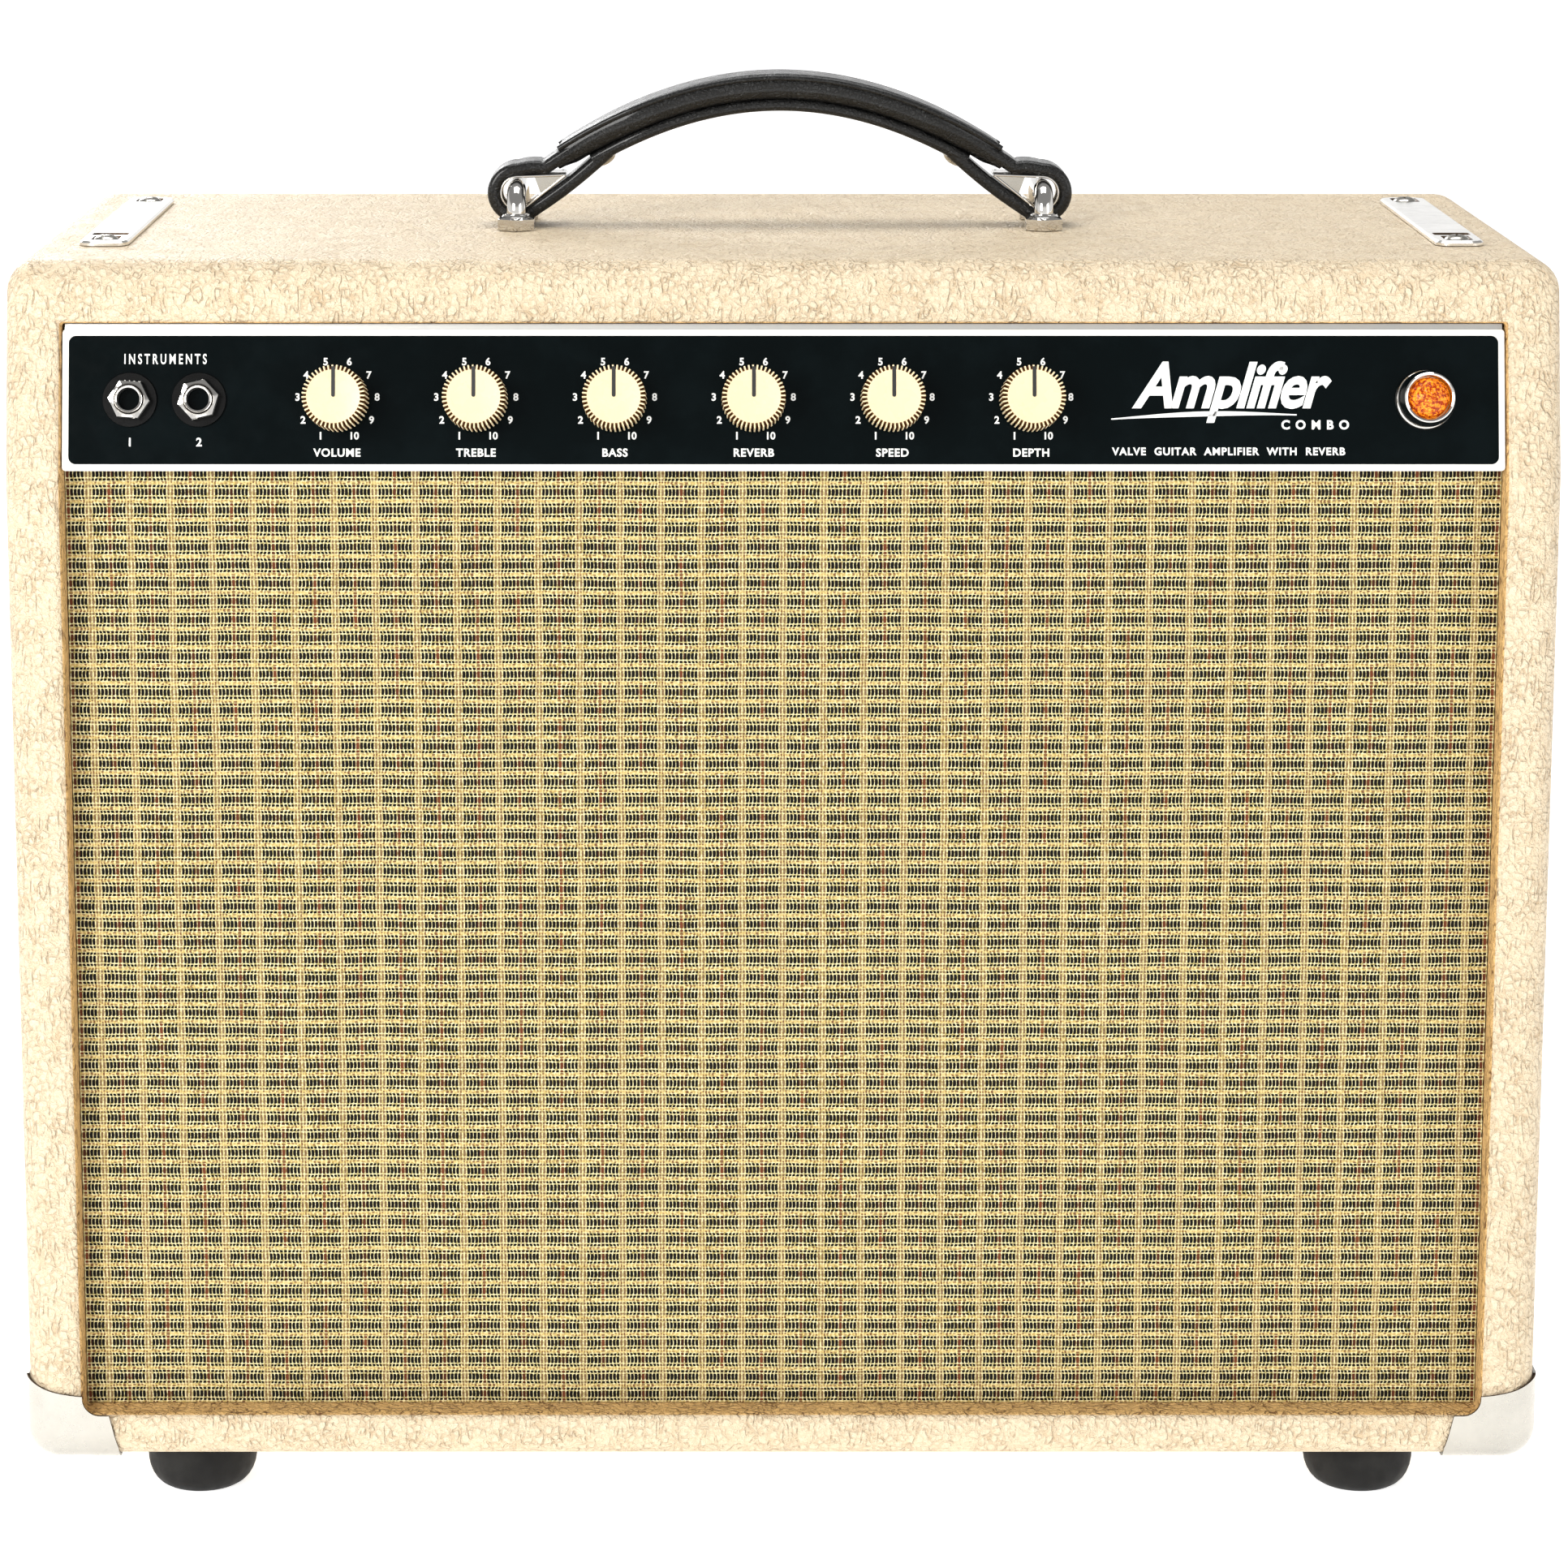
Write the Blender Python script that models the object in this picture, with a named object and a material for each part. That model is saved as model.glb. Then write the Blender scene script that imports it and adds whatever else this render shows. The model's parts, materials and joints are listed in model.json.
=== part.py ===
"""A small valve guitar combo amplifier: covered cabinet, grille, control panel, chassis, speaker and handle.

Frame: X to the right as seen from the front, +Y towards the back, +Z up.  The origin is on the floor
under the middle of the cabinet.
"""

import math

import bmesh
import bpy
from mathutils import Matrix, Vector

# Cabinet
CAB_WIDTH = 0.505
CAB_HEIGHT = 0.402
CAB_DEPTH = 0.241
FOOT_HEIGHT = 0.020
FRONT_Y = -0.116
BACK_Y = FRONT_Y + CAB_DEPTH
CAB_BOTTOM = FOOT_HEIGHT
CAB_TOP = CAB_BOTTOM + CAB_HEIGHT
KINK_Z = 0.352
TILT = math.radians(12.5)
SIDE_WALL = 0.0186
TOP_WALL = 0.0196
BOTTOM_WALL = 0.0160
EDGE_RADIUS = 0.010
INNER_EDGE_RADIUS = 0.003
CORNER_NOTCH = 0.006
GAP = 0.0003
INSIDE_X = CAB_WIDTH / 2 - SIDE_WALL
FLOOR_Z = CAB_BOTTOM + BOTTOM_WALL
CEILING_Z = CAB_TOP - TOP_WALL

# Baffle, cloth and back panels
CLOTH_FRONT = FRONT_Y + 0.0112
CLOTH_THICK = 0.0012
CLOTH_TOP = 0.3547
BAFFLE_FRONT = CLOTH_FRONT + CLOTH_THICK + GAP
BAFFLE_THICK = 0.012
BAFFLE_TOP = 0.352
SPEAKER_HOLE_RADIUS = 0.116
PANEL_BOARD_FRONT = FRONT_Y + 0.2335
PANEL_BOARD_THICK = 0.006
UPPER_PANEL = (0.262, 0.3535)
LOWER_PANEL = (FLOOR_Z + GAP, 0.132)
BATTEN = 0.018

# Control panel, along the slope (s) and into the cabinet (n)
PANEL_S = (0.0043, 0.0502)
PANEL_N = (0.0025, 0.0041)
CONTROL_S = 0.02725
KNOB_NAMES = ("volume", "treble", "bass", "reverb", "speed", "depth")
KNOB_PITCH = 0.0449
KNOB_FIRST_X = -0.1444
JACK_X = (-0.2115, -0.1891)
LAMP_X = 0.2075
KNOB_RADIUS = 0.0104
KNOB_HEIGHT = 0.0165
KNOB_TEETH = 54
SHAFT_RADIUS = 0.0030

# Chassis
CHASSIS_X = 0.2330
CHASSIS_BOTTOM = 0.3558
CHASSIS_TOP = 0.4020
CHASSIS_SHEET = 0.0015
CHASSIS_N = PANEL_N[1] + GAP
CHASSIS_BACK = FRONT_Y + 0.222
REAR_ROW_Z = 0.379
INLET_X = 0.190
FUSE_X = 0.150
SWITCH_X = 0.110
SPEAKER_JACK_X = -0.020

# Speaker
SPEAKER_Z = 0.180
SPEAKER_Y = BAFFLE_FRONT + BAFFLE_THICK + GAP

# Handle and top fittings
HANDLE_Y = FRONT_Y + 0.128
BAIL_X = 0.0905
BAIL_LEG = 0.0175
BAIL_ROD = 0.00325
BAIL_TOP = CAB_TOP + 0.0165
LOOP_HOLE = 0.0060
LOOP_RADIUS = 0.0096
LOOP_Z = BAIL_TOP + GAP - 0.0050
HANDLE_WIDTH = 0.027
LOOP_WIDTH = 0.0196
HANDLE_TOP = CAB_TOP + 0.053
HANDLE_THICK = 0.0105
HANDLE_DROP = 4.2
STRAP_X = 0.226
STRAP_Y = (FRONT_Y + 0.0594, FRONT_Y + 0.2016)
STRAP_WIDTH = 0.0163
STRAP_Z = (CAB_TOP + GAP, CAB_TOP + GAP + 0.0016)
BOLT_INSET = 0.010

FOOT_X = 0.198
FOOT_Y = (FRONT_Y + 0.036, BACK_Y - 0.036)

for leftover in list(bpy.data.objects):
    bpy.data.objects.remove(leftover, do_unlink=True)


def material(name, colour, roughness, metallic=0.0):
    """A Principled material of one colour."""
    made = bpy.data.materials.new(name)
    made.use_nodes = True
    shader = made.node_tree.nodes["Principled BSDF"]
    shader.inputs["Base Color"].default_value = (*colour, 1.0)
    shader.inputs["Roughness"].default_value = roughness
    shader.inputs["Metallic"].default_value = metallic
    return made


VINYL = material("cream_vinyl", (0.86, 0.74, 0.58), 0.55)
CLOTH = material("wheat_cloth", (0.62, 0.47, 0.24), 0.8)
PLYWOOD = material("plywood", (0.55, 0.40, 0.24), 0.7)
BLACK_PANEL = material("black_panel", (0.02, 0.025, 0.027), 0.2)
STEEL = material("plated_steel", (0.62, 0.62, 0.60), 0.35, 1.0)
CHROME = material("chrome", (0.80, 0.80, 0.80), 0.12, 1.0)
NICKEL = material("satin_nickel", (0.78, 0.76, 0.72), 0.3, 1.0)
LEATHER = material("black_leather", (0.02, 0.02, 0.02), 0.5)
RUBBER = material("black_rubber", (0.02, 0.02, 0.02), 0.7)
CREAM_PLASTIC = material("cream_plastic", (0.88, 0.78, 0.60), 0.35)
BLACK_PLASTIC = material("black_plastic", (0.02, 0.02, 0.02), 0.4)
JEWEL = material("amber_jewel", (0.95, 0.20, 0.03), 0.1)
PAPER = material("cone_paper", (0.05, 0.045, 0.04), 0.9)
MAGNET = material("magnet_steel", (0.25, 0.25, 0.26), 0.4, 0.9)
IRON = material("transformer_iron", (0.10, 0.10, 0.11), 0.5, 0.6)
GLASS = material("valve_glass", (0.75, 0.78, 0.78), 0.08)
BOARD = material("circuit_board", (0.35, 0.22, 0.10), 0.6)


def slope_frame(x, s, n):
    """Matrix of a point on the sloping face: local Z out of the panel, local Y up the slope."""
    sine, cosine = math.sin(TILT), math.cos(TILT)
    spot = Vector((x, FRONT_Y + s * sine + n * cosine, KINK_Z + s * cosine - n * sine))
    turn = Matrix(((1, 0, 0), (0, sine, -cosine), (0, cosine, sine)))
    return Matrix.Translation(spot) @ turn.to_4x4()


def back_frame(x, y, z):
    """Matrix with local Z pointing out of the back and local Y up."""
    turn = Matrix(((-1, 0, 0), (0, 0, 1), (0, 1, 0)))
    return Matrix.Translation((x, y, z)) @ turn.to_4x4()


def front_frame(x, y, z):
    """Matrix with local Z pointing out of the front and local Y up."""
    turn = Matrix(((1, 0, 0), (0, 0, -1), (0, 1, 0)))
    return Matrix.Translation((x, y, z)) @ turn.to_4x4()


def finish(name, mesh_data, skin, place=None, smooth=None):
    """Turns a bmesh into a placed object with its faces pointing outwards."""
    bmesh.ops.remove_doubles(mesh_data, verts=mesh_data.verts, dist=1e-6)
    bmesh.ops.recalc_face_normals(mesh_data, faces=mesh_data.faces)
    data = bpy.data.meshes.new(name)
    mesh_data.to_mesh(data)
    mesh_data.free()
    if smooth is not None:
        data.shade_smooth()
        data.set_sharp_from_angle(angle=math.radians(smooth))
    made = bpy.data.objects.new(name, data)
    bpy.context.scene.collection.objects.link(made)
    if skin is not None:
        data.materials.append(skin)
    if place is not None:
        made.matrix_world = place
    bpy.context.view_layer.update()
    bpy.context.view_layer.update()
    return made


def block(low, high):
    """A box between two corners."""
    shape = bmesh.new()
    size = Vector(high) - Vector(low)
    middle = (Vector(high) + Vector(low)) / 2
    grow = Matrix.Translation(middle) @ Matrix.Diagonal((*size, 1.0))
    bmesh.ops.create_cube(shape, size=1.0, matrix=grow)
    return shape


def soften(shape, radius, segments, chosen=None):
    """Rounds the chosen edges of a bmesh, or all of them."""
    edges = [e for e in shape.edges if chosen is None or chosen(e)]
    bmesh.ops.bevel(shape, geom=edges, offset=radius, segments=segments, profile=0.5, affect="EDGES")
    return shape


def prism(outline, low, high, axis):
    """A flat outline pushed from low to high along one axis; outline holds the other two coordinates."""
    shape = bmesh.new()

    def spot(pair, level):
        if axis == "X":
            return (level, pair[0], pair[1])
        if axis == "Y":
            return (pair[0], level, pair[1])
        return (pair[0], pair[1], level)

    first = [shape.verts.new(spot(pair, low)) for pair in outline]
    second = [shape.verts.new(spot(pair, high)) for pair in outline]
    shape.faces.new(first)
    shape.faces.new(list(reversed(second)))
    count = len(outline)
    for i in range(count):
        j = (i + 1) % count
        shape.faces.new((first[i], first[j], second[j], second[i]))
    return shape


def lathe(profile, segments, hexagon=()):
    """A closed profile of (radius, height) turned about Z; rows in hexagon are six-sided."""
    shape = bmesh.new()
    rings = []
    for row, (radius, height) in enumerate(profile):
        if radius < 1e-9:
            rings.append([shape.verts.new((0, 0, height))] * segments)
            continue
        ring = []
        for k in range(segments):
            angle = 2 * math.pi * k / segments
            reach = radius
            if row in hexagon:
                off = (angle + math.pi / 6) % (math.pi / 3) - math.pi / 6
                reach = radius / math.cos(off)
            ring.append(shape.verts.new((reach * math.cos(angle), reach * math.sin(angle), height)))
        rings.append(ring)
    count = len(profile)
    for a in range(count):
        lower, upper = rings[a], rings[(a + 1) % count]
        for k in range(segments):
            m = (k + 1) % segments
            corners = []
            for vert in (lower[k], lower[m], upper[m], upper[k]):
                if vert not in corners:
                    corners.append(vert)
            if len(corners) > 2:
                shape.faces.new(corners)
    return shape


def rod(path, radius, sides):
    """A round bar along a path that lies in a plane of constant X."""
    shape = bmesh.new()
    rings = []
    for i, here in enumerate(path):
        before = path[max(i - 1, 0)]
        after = path[min(i + 1, len(path) - 1)]
        along = (after - before).normalized()
        across = Vector((1, 0, 0))
        third = along.cross(across)
        ring = []
        for k in range(sides):
            angle = 2 * math.pi * k / sides
            ring.append(shape.verts.new(here + radius * (math.cos(angle) * across + math.sin(angle) * third)))
        rings.append(ring)
    for lower, upper in zip(rings, rings[1:]):
        for k in range(sides):
            m = (k + 1) % sides
            shape.faces.new((lower[k], lower[m], upper[m], upper[k]))
    shape.faces.new(rings[0])
    shape.faces.new(list(reversed(rings[-1])))
    return shape


def combine(target, tools, operation):
    """Cuts or joins the target with all the tools at once and keeps the result as the target's own mesh."""
    joined = bmesh.new()
    for tool in tools:
        local = tool.data.copy()
        local.transform(target.matrix_world.inverted() @ tool.matrix_world)
        joined.from_mesh(local)
        bpy.data.objects.remove(tool, do_unlink=True)
    data = bpy.data.meshes.new("tool")
    joined.to_mesh(data)
    joined.free()
    helper = bpy.data.objects.new("tool", data)
    helper.matrix_world = target.matrix_world
    helper.hide_render = True
    helper.display_type = "WIRE"
    bpy.context.scene.collection.objects.link(helper)
    step = target.modifiers.new("step", "BOOLEAN")
    step.operation = operation
    step.solver = "EXACT"
    step.object = helper
    bpy.context.view_layer.update()
    graph = bpy.context.evaluated_depsgraph_get()
    result = bpy.data.meshes.new_from_object(target.evaluated_get(graph))
    target.modifiers.clear()
    tidy = bmesh.new()
    tidy.from_mesh(result)
    bmesh.ops.remove_doubles(tidy, verts=tidy.verts, dist=2e-6)
    bmesh.ops.dissolve_degenerate(tidy, edges=tidy.edges, dist=1e-6)
    tidy.to_mesh(result)
    tidy.free()
    target.data = result
    bpy.data.objects.remove(helper, do_unlink=True)
    return target


def drill(target, spots, depth, segments=20):
    """Round holes: each spot is (matrix, radius), drilled along local Z by depth both ways."""
    tools = []
    for place, radius in spots:
        plug = lathe(((0, -depth), (radius, -depth), (radius, depth), (0, depth)), segments)
        tools.append(finish("hole", plug, None, place))
    return combine(target, tools, "DIFFERENCE")


# ---------------------------------------------------------------- cabinet boards
def lean(z):
    """How far the front has moved back at height z."""
    return max(0.0, z - KINK_Z) * math.tan(TILT)


def board_section():
    """Board cross-section: (inset from the outer face, y, on the front side)."""
    rows = []
    for k in range(6):
        a = math.radians(90 * k / 5)
        rows.append((EDGE_RADIUS * (1 - math.cos(a)), BACK_Y - EDGE_RADIUS * (1 - math.sin(a)), False))
    rows.append((SIDE_WALL, BACK_Y, False))
    for k in range(4):
        a = math.radians(90 * k / 3)
        inset = SIDE_WALL - INNER_EDGE_RADIUS * (1 - math.cos(a))
        rows.append((inset, FRONT_Y + INNER_EDGE_RADIUS * (1 - math.sin(a)), True))
    for k in range(6):
        a = math.radians(90 * k / 5)
        rows.append((EDGE_RADIUS * (1 - math.sin(a)), FRONT_Y + EDGE_RADIUS * (1 - math.cos(a)), True))
    return rows


def corner_points(inset, side, up, wall, towards_side, steps=4):
    """Points in X-Z from the mitre line to the straight run of one board, at one inset."""
    outer_x = side * CAB_WIDTH / 2
    outer_z = CAB_TOP if up > 0 else CAB_BOTTOM
    slant = wall / SIDE_WALL
    if inset >= EDGE_RADIUS - 1e-9:
        spot = (outer_x - side * inset, outer_z - up * inset * slant)
        return [spot] * (steps + 1)
    radius = EDGE_RADIUS - inset
    # The mitre line starts at the sharp corner; the arc is about a centre one edge radius in.
    low, high = 0.0, EDGE_RADIUS
    for _ in range(50):
        mid = (low + high) / 2
        away = math.hypot(EDGE_RADIUS - mid, EDGE_RADIUS - mid * slant)
        if away > radius:
            low = mid
        else:
            high = mid
    start = math.atan2(EDGE_RADIUS - low * slant, EDGE_RADIUS - low)
    stop = 0.0 if towards_side else math.pi / 2
    points = []
    for k in range(steps + 1):
        a = start + (stop - start) * k / steps
        x = outer_x - side * (EDGE_RADIUS - radius * math.cos(a))
        z = outer_z - up * (EDGE_RADIUS - radius * math.sin(a))
        points.append((x, z))
    return points


def board(name, kind, sign):
    """One mitred board: a side (kind X) or a top or bottom (kind Z)."""
    shape = bmesh.new()
    loops = []
    for inset, y, front in board_section():
        if kind == "X":
            head = corner_points(inset, sign, 1, TOP_WALL, True)
            tail = corner_points(inset, sign, -1, BOTTOM_WALL, True)
            straight = [(head[-1][0], KINK_Z)]
            head = [(x, z - GAP / 2) for x, z in head]
            tail = [(x, z + GAP / 2) for x, z in tail]
        else:
            wall = TOP_WALL if sign > 0 else BOTTOM_WALL
            head = corner_points(inset, -1, sign, wall, False)
            tail = corner_points(inset, 1, sign, wall, False)
            straight = []
            head = [(x + GAP / 2, z) for x, z in head]
            tail = [(x - GAP / 2, z) for x, z in tail]
        run = head + straight + list(reversed(tail))
        loops.append([shape.verts.new((x, y + (lean(z) if front else 0.0), z)) for x, z in run])
    count = len(loops)
    for a in range(count):
        this, other = loops[a], loops[(a + 1) % count]
        for k in range(len(this) - 1):
            shape.faces.new((this[k], this[k + 1], other[k + 1], other[k]))
    shape.faces.new([loop[0] for loop in loops])
    shape.faces.new([loop[-1] for loop in reversed(loops)])
    bmesh.ops.remove_doubles(shape, verts=shape.verts, dist=1e-6)
    bmesh.ops.dissolve_degenerate(shape, edges=shape.edges, dist=1e-6)
    return finish(name, shape, VINYL, smooth=30)


board("left_side_board", "X", -1)
board("right_side_board", "X", 1)
board("bottom_board", "Z", -1)
top_board = board("top_board", "Z", 1)
leg_holes = []
for side in (-1, 1):
    for end in (-1, 1):
        leg_holes.append((Matrix.Translation((side * BAIL_X, HANDLE_Y + end * BAIL_LEG, CAB_TOP)), 0.0037))
    for y in (STRAP_Y[0] + BOLT_INSET, STRAP_Y[1] - BOLT_INSET):
        leg_holes.append((Matrix.Translation((side * STRAP_X, y, CAB_TOP)), 0.0029))
drill(top_board, leg_holes, 0.03, 12)

baffle_low = (-INSIDE_X + GAP, BAFFLE_FRONT, FLOOR_Z + GAP)
baffle_high = (INSIDE_X - GAP, BAFFLE_FRONT + BAFFLE_THICK, BAFFLE_TOP)
baffle = finish("baffle_board", block(baffle_low, baffle_high), PLYWOOD)
drill(baffle, [(front_frame(0, SPEAKER_Y, SPEAKER_Z), SPEAKER_HOLE_RADIUS)], 0.05, 32)

cloth_low = (-INSIDE_X + GAP, CLOTH_FRONT, FLOOR_Z + GAP)
cloth_high = (INSIDE_X - GAP, CLOTH_FRONT + CLOTH_THICK, CLOTH_TOP)
finish("grille_cloth", block(cloth_low, cloth_high), CLOTH)

for name, (low_z, high_z) in (("upper_back_panel", UPPER_PANEL), ("lower_back_panel", LOWER_PANEL)):
    low = (-INSIDE_X + GAP, PANEL_BOARD_FRONT, low_z)
    high = (INSIDE_X - GAP, PANEL_BOARD_FRONT + PANEL_BOARD_THICK, high_z)
    flat = soften(block(low, high), 0.001, 1)
    finish(name, flat, VINYL)

for side, word in ((-1, "left"), (1, "right")):
    edges = sorted((side * (INSIDE_X - GAP), side * (INSIDE_X - BATTEN)))
    low = (edges[0], PANEL_BOARD_FRONT - GAP - BATTEN, FLOOR_Z + GAP)
    stick = block(low, (edges[1], PANEL_BOARD_FRONT - GAP, UPPER_PANEL[1]))
    finish(f"{word}_batten", stick, PLYWOOD)

# ---------------------------------------------------------------- feet and corners
FOOT_PROFILE = (
    (0.0050, 0.0000),
    (0.0125, 0.0000),
    (0.0142, 0.0015),
    (0.0187, 0.0165),
    (0.0187, FOOT_HEIGHT - GAP),
    (0.0000, FOOT_HEIGHT - GAP),
    (0.0000, 0.0090),
    (0.0050, 0.0090),
)
for depth, y in (("front", FOOT_Y[0]), ("rear", FOOT_Y[1])):
    for side, word in ((-1, "left"), (1, "right")):
        place = Matrix.Translation((side * FOOT_X, y, 0))
        finish(f"foot_{depth}_{word}", lathe(FOOT_PROFILE, 20), RUBBER, place, 40)


def corner_block(offset, reach, side, end):
    """A box at a bottom corner of the cabinet, its three outer edges rounded, pushed out by offset."""
    shape = block((0, 0, 0), reach)
    spot = Vector((0, 0, 0))

    def outer(edge):
        return any((vert.co - spot).length < 1e-9 for vert in edge.verts)

    soften(shape, EDGE_RADIUS + offset, 5, outer)
    y = FRONT_Y - offset if end < 0 else BACK_Y + offset
    x = side * (CAB_WIDTH / 2 + offset)
    for vert in shape.verts:
        vert.co = Vector((x - side * vert.co.x, y - end * vert.co.y, CAB_BOTTOM - offset + vert.co.z))
    return shape


def metal_corner(name, side, end):
    """A pressed metal corner cap: an L on the face, a wing along the side and a plate below."""
    cap = finish(name, corner_block(0.0012, (0.0315, 0.0310, 0.0292), side, end), NICKEL)
    inner = finish("inner", corner_block(0.0003, (0.05, 0.05, 0.05), side, end), None)
    y = FRONT_Y if end < 0 else BACK_Y
    deep = sorted((y + end * 0.005, y - end * 0.008))
    outer_x = side * CAB_WIDTH / 2

    def at(reach, height):
        return (outer_x - side * reach, CAB_BOTTOM + height)

    # Between the legs of the L the metal is open, with a rounded inner corner.
    notch = [at(0.05, BOTTOM_WALL), at(0.05, 0.05), at(SIDE_WALL, 0.05)]
    for step in range(5):
        angle = math.radians(90 * step / 4)
        reach = SIDE_WALL + CORNER_NOTCH * (1 - math.cos(angle))
        notch.append(at(reach, BOTTOM_WALL + CORNER_NOTCH * (1 - math.sin(angle))))
    slant = [at(-0.01, 0.0302), at(0.0, 0.0280), at(0.05, 0.0153), at(0.05, 0.05), at(-0.01, 0.05)]
    leg_end = [at(0.0316, -0.0013), at(0.0275, BOTTOM_WALL), at(0.0275, 0.03), at(0.05, 0.03), at(0.05, -0.0013)]
    combine(cap, [inner], "DIFFERENCE")
    for outline in (notch, slant, leg_end):
        tool = finish("corner_cut", prism(outline, deep[0], deep[1], "Y"), None)
        combine(cap, [tool], "DIFFERENCE")


for end, depth in ((-1, "front"), (1, "rear")):
    for side, word in ((-1, "left"), (1, "right")):
        metal_corner(f"corner_{depth}_{word}", side, end)

# ---------------------------------------------------------------- straps and bolts on the top
for side, word in ((-1, "left"), (1, "right")):
    middle = side * STRAP_X
    half = STRAP_WIDTH / 2
    cut = 0.0035
    outline = []
    for x, y, dx, dy in ((-half, STRAP_Y[0], 1, 1), (half, STRAP_Y[0], -1, 1)):
        pair = [(middle + x, y + dy * cut), (middle + x + dx * cut, y)]
        outline += pair if dx > 0 else list(reversed(pair))
    for x, y, dx, dy in ((half, STRAP_Y[1], -1, -1), (-half, STRAP_Y[1], 1, -1)):
        pair = [(middle + x, y + dy * cut), (middle + x + dx * cut, y)]
        outline += pair if dx < 0 else list(reversed(pair))
    strap = finish(f"chassis_strap_{word}", prism(outline, STRAP_Z[0], STRAP_Z[1], "Z"), NICKEL)
    bolts = (("front", STRAP_Y[0] + BOLT_INSET), ("rear", STRAP_Y[1] - BOLT_INSET))
    spots = [(Matrix.Translation((middle, y, STRAP_Z[1])), 0.0029) for _, y in bolts]
    drill(strap, spots, 0.01, 16)
    for depth, y in bolts:
        under = CHASSIS_TOP - CHASSIS_SHEET - 0.006 - STRAP_Z[1]
        profile = (
            (0, under),
            (0.0025, under),
            (0.0025, 0.0002),
            (0.0052, 0.0002),
            (0.0046, 0.0016),
            (0.0026, 0.0026),
            (0, 0.0029),
        )
        place = Matrix.Translation((middle, y, STRAP_Z[1]))
        bolt = finish(f"chassis_bolt_{depth}_{word}", lathe(profile, 16), NICKEL, place, 40)
        for turn in (0, math.pi / 2):
            slot = block((-0.0021, -0.00035, 0.0018), (0.0021, 0.00035, 0.005))
            tool = finish("slot", slot, None, place @ Matrix.Rotation(turn, 4, "Z"))
            combine(bolt, [tool], "DIFFERENCE")

# ---------------------------------------------------------------- handle
for side, word in ((-1, "left"), (1, "right")):
    bend = 0.0060
    level = BAIL_TOP - BAIL_ROD
    path = [Vector((side * BAIL_X, HANDLE_Y - BAIL_LEG, CEILING_Z - 0.004))]
    for k in range(5):
        a = math.radians(90 * k / 4)
        y = HANDLE_Y - BAIL_LEG + bend * (1 - math.cos(a))
        path.append(Vector((side * BAIL_X, y, level - bend * (1 - math.sin(a)))))
    for spot in list(reversed(path)):
        path.append(Vector((spot.x, 2 * HANDLE_Y - spot.y, spot.z)))
    bail = finish(f"handle_bail_{word}", rod(path, BAIL_ROD, 12), CHROME, None, 40)
    nuts = []
    for end in (-1, 1):
        profile = ((0, GAP), (0.0062, GAP), (0.0062, 0.0052), (0.0056, 0.0058), (0, 0.0058))
        place = Matrix.Translation((side * BAIL_X, HANDLE_Y + end * BAIL_LEG, CAB_TOP))
        nuts.append(finish("nut", lathe(profile, 24, (1, 2)), CHROME, place))
    combine(bail, nuts, "UNION")


def arch(x):
    """Height of the handle's upper edge at x."""
    return HANDLE_TOP - HANDLE_DROP * x * x


def underside(x):
    """Lower edge point below the upper edge at x: square to the arch, then a straight line under the loop."""
    slope = -2 * HANDLE_DROP * x
    size = math.hypot(1, slope)
    return (x + HANDLE_THICK * slope / size, arch(x) - HANDLE_THICK / size)


def half_width(x):
    """Half of the handle's width: full over the grip, narrower at the loops."""
    share = min(1.0, max(0.0, (abs(x) - 0.055) / 0.017))
    return HANDLE_WIDTH / 2 + (LOOP_WIDTH - HANDLE_WIDTH) / 2 * share


shape = bmesh.new()
rings = []
steps = 13
for k in range(-steps - 1, steps + 2):
    if abs(k) <= steps:
        x = 0.078 * k / steps
        low_x, low_z = underside(x)
        top_z = arch(x)
    else:
        x = math.copysign(0.0885, k)
        low_x, low_z = x, LOOP_Z - LOOP_RADIUS + 0.0005
        top_z = arch(x) + 0.0005
    half = half_width(x)
    corners = ((x, -half, top_z), (x, half, top_z), (low_x, half, low_z), (low_x, -half, low_z))
    rings.append([shape.verts.new((cx, HANDLE_Y + cy, cz)) for cx, cy, cz in corners])
for lower, upper in zip(rings, rings[1:]):
    for k in range(4):
        m = (k + 1) % 4
        shape.faces.new((lower[k], lower[m], upper[m], upper[k]))
shape.faces.new(rings[0])
shape.faces.new(list(reversed(rings[-1])))
grip = finish("handle_grip", shape, LEATHER, None, 40)
loops = []
half = LOOP_WIDTH / 2
for side in (-1, 1):
    drum = lathe(((0, -half), (LOOP_RADIUS, -half), (LOOP_RADIUS, half), (0, half)), 24)
    loops.append(finish("loop", drum, LEATHER, front_frame(side * BAIL_X, HANDLE_Y, LOOP_Z)))
combine(grip, loops, "UNION")
drill(grip, [(front_frame(side * BAIL_X, HANDLE_Y, LOOP_Z), LOOP_HOLE) for side in (-1, 1)], 0.03, 24)
for side, word in ((-1, "left"), (1, "right")):
    half = LOOP_WIDTH / 2 - 0.0002
    profile = ((0.0050, -half), (0.0057, -half), (0.0057, half), (0.0050, half))
    finish(f"handle_liner_{word}", lathe(profile, 24), CHROME, front_frame(side * BAIL_X, HANDLE_Y, LOOP_Z), 40)

# ---------------------------------------------------------------- control panel and chassis
knob_x = [KNOB_FIRST_X + KNOB_PITCH * k for k in range(6)]
plate = block((-INSIDE_X + GAP, PANEL_S[0] - CONTROL_S, PANEL_N[0] - PANEL_N[1]), (INSIDE_X - GAP, PANEL_S[1] - CONTROL_S, 0))
panel = finish("control_panel", plate, BLACK_PANEL, slope_frame(0, CONTROL_S, PANEL_N[0]))
control_holes = [(slope_frame(x, CONTROL_S, PANEL_N[0]), 0.0050) for x in knob_x + list(JACK_X)]
control_holes.append((slope_frame(LAMP_X, CONTROL_S, PANEL_N[0]), 0.0073))
drill(panel, control_holes, 0.004, 16)


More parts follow.
